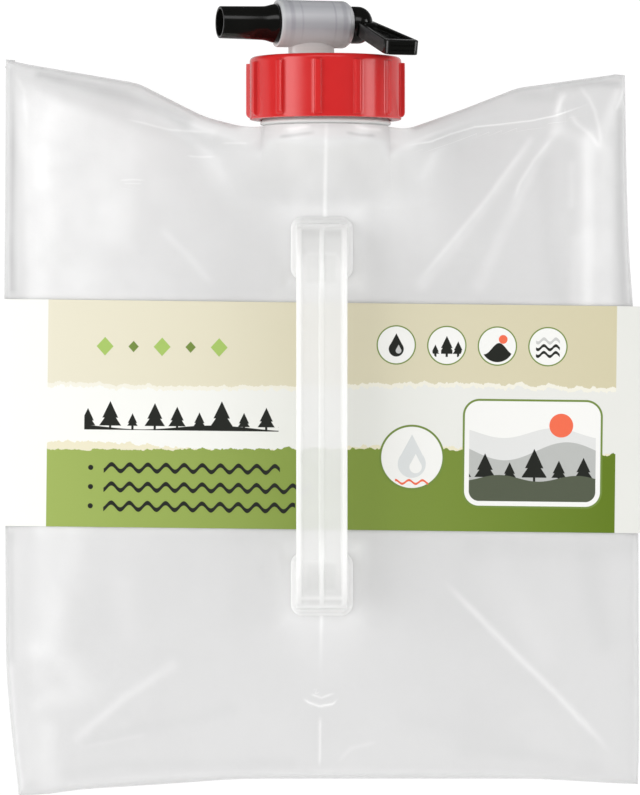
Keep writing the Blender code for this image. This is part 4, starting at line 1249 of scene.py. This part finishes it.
def make_neck(finish):
    low, rim = NECK_LOW[1] - CAP_FOOT.y, RIM_TOP - CAP_FOOT.y
    foot = NECK_Y - CAP_FOOT.y
    collar_r = 0.0250
    profile = (
        (NECK_R, rim), (NECK_R, foot + 0.0030), (collar_r, foot + 0.0016),
        (collar_r, foot + 0.0007), (NECK_R, foot + 0.0002), (NECK_R, low), (NECK_BORE_R, low),
        (NECK_BORE_R, rim),
    )
    radii = (0.0007, 0.0008, 0.0004, 0.0004, 0.0003, 0.0005, 0.0004, 0.0004)
    neck = to_cap(lathe("neck_tube", rounded(profile, radii), 128))
    combine(neck, to_cap(helix("neck_bead", NECK_R, THREAD_FOOT + PITCH / 2)), "UNION")
    smooth(neck)
    dress(neck, finish, "front", "neck_plastic", "neck")


def cap_rows():
    """The cap's side outline from its foot's bore round: radius, height and the ribs' share."""
    top = CAP_HEIGHT
    rib_top = top - RIB_TOP_DROP
    foot_end = RIB_FOOT + RIB_RISE
    rows = [(CAP_BORE_R + 0.0003, 0.0, 0), (CAP_R - 0.0005, 0.0, 0), (CAP_R - 0.0001, 0.00015, 0)]
    rows += [(CAP_R, 0.0005, 0), (CAP_R, RIB_FOOT, 0)]
    for share in (0.2, 0.45, 0.68, 0.85, 0.95, 1.0):
        rows.append((CAP_R, RIB_FOOT + RIB_RISE * (1 - math.sqrt(1 - share**2)), share))
    for n in range(1, 7):
        rows.append((CAP_R, foot_end + (rib_top - 0.0030 - foot_end) * n / 6, 1.0))
    rows += [(CAP_R, rib_top - 0.00015, 0.97), (CAP_R, rib_top - 0.00003, 0.86)]
    rows.append((CAP_R, rib_top, 0))
    for k in range(7):
        a = math.pi / 2 * k / 6
        rows.append((CAP_R - CAP_ROUND * (1 - math.cos(a)), top - CAP_ROUND * (1 - math.sin(a)), 0))
    rows += [(STEP_R + 0.0004, top, 0), (STEP_R, top - STEP_DROP, 0)]
    rows += [(LIP_BORE_R + 0.0004, top - STEP_DROP, 0), (LIP_BORE_R, top - 0.0005, 0)]
    rows.append((LIP_BORE_R, top - CAP_LIP, 0))
    rows += [(CAP_BORE_R - 0.0005, top - CAP_LIP, 0), (CAP_BORE_R, top - CAP_LIP - 0.0005, 0)]
    return rows + [(CAP_BORE_R, 0.0004, 0)]


def cap_angles():
    """Angles round the cap, close together at the ribs' flanks, with the rib's share at each."""
    spots = []
    outer = RIB_HALF + RIB_FLANK / 2
    near = [RIB_HALF + RIB_FLANK * (0.5 - k / 9) for k in range(10)] + [RIB_HALF * 0.4]
    gap = math.tau / RIB_COUNT
    for n in range(RIB_COUNT):
        centre = RIB_PHASE + gap * n
        for reach in [-v for v in near] + [0.0] + near:
            spots.append((centre + reach / CAP_R, float(ease((outer - abs(reach)) / RIB_FLANK))))
        for k in range(1, 8):
            spots.append((centre + outer / CAP_R + (gap - 2 * outer / CAP_R) * k / 8, 0.0))
    return sorted(spots)


def make_cap(finish):
    rows, angles = cap_rows(), cap_angles()
    verts = []
    for radius, height, share in rows:
        for angle, rib in angles:
            r = radius + RIB_PROUD * share * rib
            verts.append((r * math.cos(angle), height, -r * math.sin(angle)))
    cap = to_cap(solid("screw_cap", verts, tube(len(rows), len(angles), closed=True)))
    smooth(cap, 45)
    dress(cap, finish, "cap", "cap_plastic", "cap_ring")
    thread = to_cap(helix("cap_bead", CAP_BORE_R, THREAD_FOOT))
    smooth(thread)
    dress(thread, finish, "cap", "cap_plastic")


def make_gasket(finish):
    (_, low, _), (_, high, _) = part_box("cap_gasket")
    profile = ((NECK_R, high), (NECK_R, low), (NECK_BORE_R, low), (NECK_BORE_R, high))
    gasket = lathe("seal_ring", rounded(profile, 0.0004, 3), 96)
    place(gasket, Matrix.Translation((0, 0, NECK_Z)))
    smooth(gasket)
    dress(gasket, finish, "seal", "gasket_rubber", "cap_gasket")


# Tap: built round its own barrel, +X towards the lever and +Y away from the cap

BARREL_TURN = math.atan2(-LEVER_AXIS.z, LEVER_AXIS.x)
TAP_FRAME = Matrix.Translation(TAP_CENTRE) @ Matrix.Rotation(BARREL_TURN, 4, "Y")
ALONG_BARREL = Matrix.Rotation(-math.pi / 2, 4, "Z")
TO_LEVER = 0.0096
TO_SPOUT = 0.0196
BARREL_R = 0.009
BORE_R = 0.007
BOSS_R = 0.0093
BOSS_X = -0.0057
BOSS_SHARES = (0.97, 1, 0.56, 1)
FLANGE = 0.002
FLANGE_R = 0.0244
DISC_R = 0.0202
FLANGE_FOOT = CAP_HIGH[1] - CAP_LIP - 0.0003 - FLANGE - TAP_CENTRE.y
DISC_TOP = CAP_HIGH[1] - 0.0008 - TAP_CENTRE.y
WATERWAY_R = 0.0034
PORT_R = 0.0032
PLUG_R = 0.0066
PLUG_BORE_R = 0.004
PIN_R = 0.0034
COLLAR_R = 0.00735
SPOUT_R = 0.0061
SPOUT_WALL = 0.001
SPOUT_LENGTH = 0.0222
GROOVE_DEPTH = 0.0014
O_RING_R = 0.00065
O_RING_SPOTS = (TO_LEVER - 0.0042, -TO_SPOUT + 0.0042)


def turned(name, profile, radii=None, steps=96):
    """A turned piece whose profile starts and ends on the axis."""
    if radii:
        profile = rounded(profile, radii, 4, False)
    return lathe(name, profile, steps, False)


def along_barrel(obj):
    """Turns a piece made round +Y so that it lies along the barrel, +Y becoming +X."""
    return place(obj, ALONG_BARREL)


def drill(obj, name, radius, low, high):
    """Cuts a round hole along +Y at the boss."""
    hole = turned(name, ((0, low), (radius, low), (radius, high), (0, high)), steps=32)
    combine(obj, place(hole, Matrix.Translation((BOSS_X, 0, 0))), "DIFFERENCE")


def make_tap_body(finish):
    flange_top = FLANGE_FOOT + FLANGE
    disc_profile = (
        (0, DISC_TOP), (DISC_R, DISC_TOP), (DISC_R, flange_top), (FLANGE_R, flange_top),
        (FLANGE_R, FLANGE_FOOT), (0, FLANGE_FOOT),
    )
    radii = (0, 0.0006, 0, 0.0003, 0.0003, 0)
    body = lathe("tap_housing", rounded(disc_profile, radii, 3, False), 128, False)
    boss = turned("boss", (
        (0, -0.0005), (BOSS_R, -0.0005), (BOSS_R, DISC_TOP + 0.0022),
        (BOSS_R + 0.0002, DISC_TOP + 0.001), (BOSS_R + 0.0008, DISC_TOP - 0.0006),
        (0, DISC_TOP - 0.0006),
    ))
    place(boss, Matrix.Translation((BOSS_X, 0, 0)) @ Matrix.Diagonal(BOSS_SHARES))
    combine(body, boss, "UNION")
    barrel_profile = (
        (0, TO_LEVER), (BARREL_R - 0.0019, TO_LEVER), (BARREL_R - 0.0014, TO_LEVER - 0.0005),
        (BARREL_R, TO_LEVER - 0.0022), (BARREL_R, -TO_SPOUT), (0, -TO_SPOUT),
    )
    barrel = turned("barrel", barrel_profile, (0, 0.0005, 0.0008, 0.0010, 0.0005, 0))
    combine(body, along_barrel(barrel), "UNION")
    drill(body, "waterway", WATERWAY_R, FLANGE_FOOT - 0.002, -BORE_R / 2)
    bore = turned("bore", (
        (0, TO_LEVER + 0.002), (BORE_R, TO_LEVER + 0.002), (BORE_R, -TO_SPOUT + 0.0008),
        (BORE_R + 0.0010, -TO_SPOUT - 0.0002), (BORE_R + 0.0010, -TO_SPOUT - 0.002),
        (0, -TO_SPOUT - 0.002),
    ))
    combine(body, along_barrel(bore), "DIFFERENCE")
    store(body, "along", [v.co.x for v in body.data.vertices])
    place(body, TAP_FRAME)
    smooth(body, 30)
    dress(body, finish, "tap", "tap_plastic", "tap_body")


def tap_finish():
    """Milky plastic: bluish and streaked round the barrel, with a painted highlight along it, and
    warm and lighter towards the cap: a painted reflection of the red cap and painted light.
    """
    tap = Finish("tap_plastic", (0.5, 0.5, 0.53), 0.20, 0.86, IOR=1.5)
    height = (tap.split(tap.coordinates)[1] - TAP_CENTRE.y) * TO_MM
    barrel = tap.mix(tap.noise(85, 3.0), (0.375, 0.380, 0.405), (0.425, 0.428, 0.452))
    # A painted highlight: a lighter band along the barrel beside its axis
    painted_highlight = (abs(height * 0.30 - 0.9) * -1.0 + 1.0).high(0.0)
    barrel = tap.mix(painted_highlight, barrel, (0.52, 0.525, 0.55))
    along = tap.attribute("along") * TO_MM
    seals = ((5.4, 0.8, 0.35), (-15.4, 0.8, 0.35), (1.6, 0.35, 0.30), (-11.5, 0.35, 0.22))
    for at, half, strength in seals:
        barrel = tap.mix(along.band(at, half, 1.6) * strength, barrel, (0.22, 0.22, 0.245))
    for at in (-19.2, 8.6):
        barrel = tap.mix(along.band(at, 0.8, 1.5) * 0.55, barrel, (0.62, 0.63, 0.63))
    # Warm and lighter towards the cap: a painted reflection of the red cap and painted light
    foot = (height / -9.0 - 0.25).clamped()
    tap.colour(tap.mix(foot, barrel, (0.780, 0.725, 0.705)))
    tap.feed("Roughness", tap.noise(240, 3.0) * 0.06 + 0.17)
    tap.bump(tap.noise(500, 3.0, 0.6), 0.03, 0.0004)
    return tap


def groove(at):
    half, floor = O_RING_R + 0.0003, PLUG_R - GROOVE_DEPTH
    return [(PLUG_R, at + half), (floor, at + half), (floor, at - half), (PLUG_R, at - half)]


def make_spindle(finish):
    collar = -TO_SPOUT - 0.0003
    tip = collar - SPOUT_LENGTH
    pin_end = TO_LEVER + 0.0042
    pin = [(0, pin_end), (PIN_R, pin_end), (PIN_R, TO_LEVER), (PLUG_R, TO_LEVER)]
    plug = [*groove(O_RING_SPOTS[0]), *groove(O_RING_SPOTS[1]), (PLUG_R, collar)]
    spout = [
        (COLLAR_R, collar), (COLLAR_R, collar - 0.0011), (0.0070, collar - 0.0024),
        (0.0065, collar - 0.0042), (0.0064, collar - 0.0062), (SPOUT_R, tip),
        (SPOUT_R - SPOUT_WALL, tip), (0.0051, collar - 0.0062), (PLUG_BORE_R, collar - 0.003),
    ]
    core = [(PLUG_BORE_R, TO_LEVER - 0.004), (0, TO_LEVER - 0.004)]
    spout_radii = [0.0005, 0.0008, 0.0012, 0.0016, 0.0016, 0.0003, 0.0003, 0.001, 0.001]
    radii = [0, 0.0004, 0, 0] + [0] * len(plug) + spout_radii + [0, 0]
    spindle = along_barrel(turned("spindle", pin + plug + spout + core, radii))
    drill(spindle, "port", PORT_R, -BARREL_R, 0.0)
    place(spindle, TAP_FRAME)
    smooth(spindle, 32)
    dress(spindle, finish, "valve", "black_plastic", "valve_spindle")


def make_o_rings(finish):
    centre = PLUG_R - GROOVE_DEPTH + O_RING_R + 0.0001
    names = (("o_ring_near_lever", "o_ring_lever_side"), ("o_ring_near_spout", "o_ring_spout_side"))
    for (name, node), at in zip(names, O_RING_SPOTS):
        turns = [math.tau * k / 16 for k in range(16)]
        circle = [(centre + O_RING_R * math.cos(a), at + O_RING_R * math.sin(a)) for a in turns]
        ring = place(along_barrel(lathe(name, circle, 72)), TAP_FRAME)
        ring.data.shade_smooth()
        dress(ring, finish, "valve", "o_ring_rubber", node)


# Lever

HUB_R = 0.0071
HUB_START = TO_LEVER + 0.0003
HUB_LENGTH = 0.0086
HUB_BORE_R = 0.0038
PADDLE_START = 0.005
PADDLE_REACH = 0.0405
PADDLE_THICK = 0.0054
PADDLE_ROOT_HALF, PADDLE_TIP_HALF = 0.0036, 0.0068
PADDLE_CANT = math.tan(math.radians(7.0))
PADDLE_TILT = math.radians(16.0)
PADDLE_BEVEL = 0.0008
RECESS_DEPTH = 0.0018
RECESS_START = 0.0095
GROOVE_SPOT, GROOVE_HALF, GROOVE_HALF_LENGTH = 0.0009, 0.00022, 0.0046


def prism(name, outline, low, high):
    """A flat plate with a given outline."""
    count = len(outline)
    verts = [(x, y, z) for z in (low, high) for x, y in outline]
    faces = [tuple(range(count))[::-1], tuple(range(count, 2 * count))]
    return solid(name, verts, faces + tube(2, count))


def canted(points):
    """Leans an outline to one side as it goes out along +Y."""
    return [(x + PADDLE_CANT * y, y) for x, y in points]


def make_paddle():
    """The paddle: a plate hollowed inside a rim, with rounded edges and two grooves at its end."""
    end = PADDLE_REACH
    half = PADDLE_THICK / 2
    outline = (
        (-PADDLE_ROOT_HALF, PADDLE_START), (PADDLE_ROOT_HALF, PADDLE_START), (PADDLE_TIP_HALF, end),
        (-PADDLE_TIP_HALF, end),
    )
    hollow = (
        (-PADDLE_ROOT_HALF + 0.0012, RECESS_START), (PADDLE_ROOT_HALF - 0.0010, RECESS_START),
        (PADDLE_TIP_HALF - 0.0014, end - 0.0036), (-PADDLE_TIP_HALF + 0.0014, end - 0.0036),
    )
    outline = rounded(canted(outline), (0, 0, 0.0026, 0.0032), 4)
    hollow = rounded(canted(hollow), (0.0008, 0.0008, 0.0014, 0.0014), 3)
    paddle = prism("paddle", outline, -half, half)
    combine(paddle, prism("hollow", hollow, -half - 0.001, -half + RECESS_DEPTH), "DIFFERENCE")
    edges = paddle.modifiers.new("edges", "BEVEL")
    edges.width = PADDLE_BEVEL
    edges.segments = 3
    edges.limit_method = "ANGLE"
    edges.angle_limit = math.radians(50)
    apply_modifiers(paddle)
    reach, depth, over = GROOVE_HALF_LENGTH, end - 0.0004, end + 0.001
    line = canted(((-reach, depth), (reach, depth), (reach, over), (-reach, over)))
    for level in (-GROOVE_SPOT, GROOVE_SPOT):
        cut = prism("groove", line, level - GROOVE_HALF, level + GROOVE_HALF)
        combine(paddle, cut, "DIFFERENCE")
    return paddle


def make_lever(finish):
    profile = [(0, HUB_START + HUB_LENGTH)]
    for turn in (math.radians(10 * n) for n in range(1, 10)):
        up = HUB_LENGTH * (0.35 + 0.65 * math.cos(turn))
        profile.append((HUB_R * math.sin(turn) ** 0.9, HUB_START + up))
    profile += [(HUB_R, HUB_START + 0.0006), (HUB_R - 0.0004, HUB_START), (HUB_BORE_R, HUB_START)]
    profile += [(HUB_BORE_R, HUB_START + 0.0045), (0, HUB_START + 0.0045)]
    lever = along_barrel(turned("lever_arm", profile))
    tilt = Matrix.Rotation(math.pi / 2 + PADDLE_TILT, 4, "X")
    root = Matrix.Translation((HUB_START + PADDLE_ROOT_HALF, 0, 0))
    combine(lever, place(make_paddle(), root @ tilt), "UNION")
    place(lever, TAP_FRAME)
    smooth(lever, 35)
    dress(lever, finish, "valve", "black_plastic", "lever")


# Floor, light and camera

ROOM = 0.92
ROOM_IN_GLOSS = 0.06
# Lamps: name, place, size, power, and for those that only gloss shows, the share that fades
LAMPS = (
    ("left_box", (-0.92, 0.05, 0.87), (1.5, 0.76), 13.0, 0.6),
    ("right_box", (1.137, 0.10, 0.48), (1.3, 0.46), 6.8, 0.3),
    ("far_box", (0.0, 0.84, 1.07), (1.2, 0.5), 3.2, 0.2),
    ("left_glow", (-0.95, 0.05, 0.85), (0.9, 1.5), 8.0, None),
    ("right_glow", (1.15, 0.10, 0.60), (0.9, 1.3), 3.5, None),
    ("near_glow", (0.0, -1.3, 0.9), (1.4, 0.8), 3.0, None),
)
LAMP_AIM = (0, 0, 0.02)
CAMERA_SPOT = (-0.0021, 0.0072, 2.007)
LENS_MM = 234.0
SENSOR_MM = 36.0
FLOOR_HALF = 3
FLOOR_GLOW = 1.05
FLOOR_WHITE_SHARE = 0.94


def make_floor():
    corners = [(x * FLOOR_HALF, y * FLOOR_HALF, 0) for x, y in ((-1, -1), (1, -1), (1, 1), (-1, 1))]
    floor = put("floor", corners, [(0, 1, 2, 3)])
    material = bpy.data.materials.new("floor")
    tree = Tree(material)
    shader = tree.nodes["Principled BSDF"]
    shader.inputs["Base Color"].default_value = (0.82, 0.82, 0.82, 1)
    shader.inputs["Roughness"].default_value = 0.9
    white = tree.nodes.new("ShaderNodeEmission")
    white.inputs["Strength"].default_value = FLOOR_GLOW
    # White where it is seen directly, in gloss or through the film
    gloss = tree.term("LightPath", "Is Glossy Ray")
    seen = tree.term("LightPath", "Is Camera Ray").high(gloss)
    seen = seen.high(tree.term("LightPath", "Is Transmission Ray")) * FLOOR_WHITE_SHARE
    out = tree.mix_shaders(seen, shader.outputs[0], white.outputs[0])
    # In gloss it is dimmer, and dark beyond the top of the object, as with a black card there
    place_on = tree.nodes.new("ShaderNodeNewGeometry").outputs["Position"]
    beyond = (tree.split(place_on)[1] * 40.0 - 6.0).clamped()
    out = tree.mix_shaders(gloss * (beyond * 0.6 + 0.35), out)
    tree.links.new(out, tree.nodes["Material Output"].inputs["Surface"])
    floor.data.materials.append(material)


def make_world():
    """A bright room that is white to the camera and dim in gloss."""
    world = bpy.data.worlds.new("world")
    bpy.context.scene.world = world
    tree = Tree(world)
    room = tree.nodes["Background"]
    room.inputs["Color"].default_value = (1.0, 0.998, 0.995, 1)
    level = tree.term("LightPath", "Is Glossy Ray") * (ROOM_IN_GLOSS - ROOM) + ROOM
    tree.links.new(level.socket, room.inputs["Strength"])
    white = tree.nodes.new("ShaderNodeBackground")
    white.inputs["Strength"].default_value = 1.0
    seen = tree.term("LightPath", "Is Camera Ray")
    out = tree.mix_shaders(seen, room.outputs[0], white.outputs[0])
    tree.links.new(out, tree.nodes["World Output"].inputs["Surface"])


def make_lamp(name, spot, size, power, fade):
    lamp = bpy.data.lights.new(name, "AREA")
    lamp.shape = "RECTANGLE"
    lamp.size, lamp.size_y = size
    lamp.energy = power
    obj = bpy.data.objects.new(name, lamp)
    obj.location = spot
    obj.rotation_euler = (Vector(LAMP_AIM) - Vector(spot)).to_track_quat("-Z", "Y").to_euler()
    bpy.context.scene.collection.objects.link(obj)
    obj.visible_diffuse = fade is None
    obj.visible_glossy = fade is not None
    if fade is not None:
        tree = Tree(lamp)
        across = tree.split(tree.nodes.new("ShaderNodeNewGeometry").outputs["Parametric"])[1]
        level = ((across - 1.0) / -fade).clamped()
        tree.links.new(level.socket, tree.nodes["Emission"].inputs["Strength"])


def make_camera():
    camera = bpy.data.cameras.new("camera")
    camera.sensor_fit = "VERTICAL"
    camera.sensor_height = SENSOR_MM
    camera.lens = LENS_MM
    camera.clip_start = 0.05
    obj = bpy.data.objects.new("camera", camera)
    obj.location = CAMERA_SPOT
    bpy.context.scene.collection.objects.link(obj)
    bpy.context.scene.camera = obj


def main():
    bpy.context.scene.view_settings.view_transform = "Standard"
    handle = handle_finish()
    hard = {"bump": 0.03, "IOR": 1.5}
    low, high = (0.0025, 0.0026, 0.0022), (0.0055, 0.0056, 0.0048)
    black = moulded("black_plastic", low, high, 0.16, **hard)
    make_bag(film_finish())
    make_sleeve(paper_finish())
    make_strap(handle)
    make_pad("pad_upper", "handle_pad_upper", handle)
    make_pad("pad_lower", "handle_pad_lower", handle)
    make_neck(moulded("neck_plastic", (0.69, 0.70, 0.69), (0.77, 0.77, 0.76), 0.32, 0.8))
    make_cap(moulded("cap_plastic", (0.515, 0.0140, 0.0150), (0.565, 0.018, 0.018), 0.17, **hard))
    make_gasket(moulded("gasket_foam", (0.70, 0.70, 0.66), (0.78, 0.78, 0.74), 0.7))
    make_tap_body(tap_finish())
    make_spindle(black)
    make_o_rings(moulded("o_ring_rubber", (0.010, 0.010, 0.010), (0.02, 0.02, 0.02), 0.5))
    make_lever(black)
    make_floor()
    make_world()
    for lamp in LAMPS:
        make_lamp(*lamp)
    make_camera()


main()
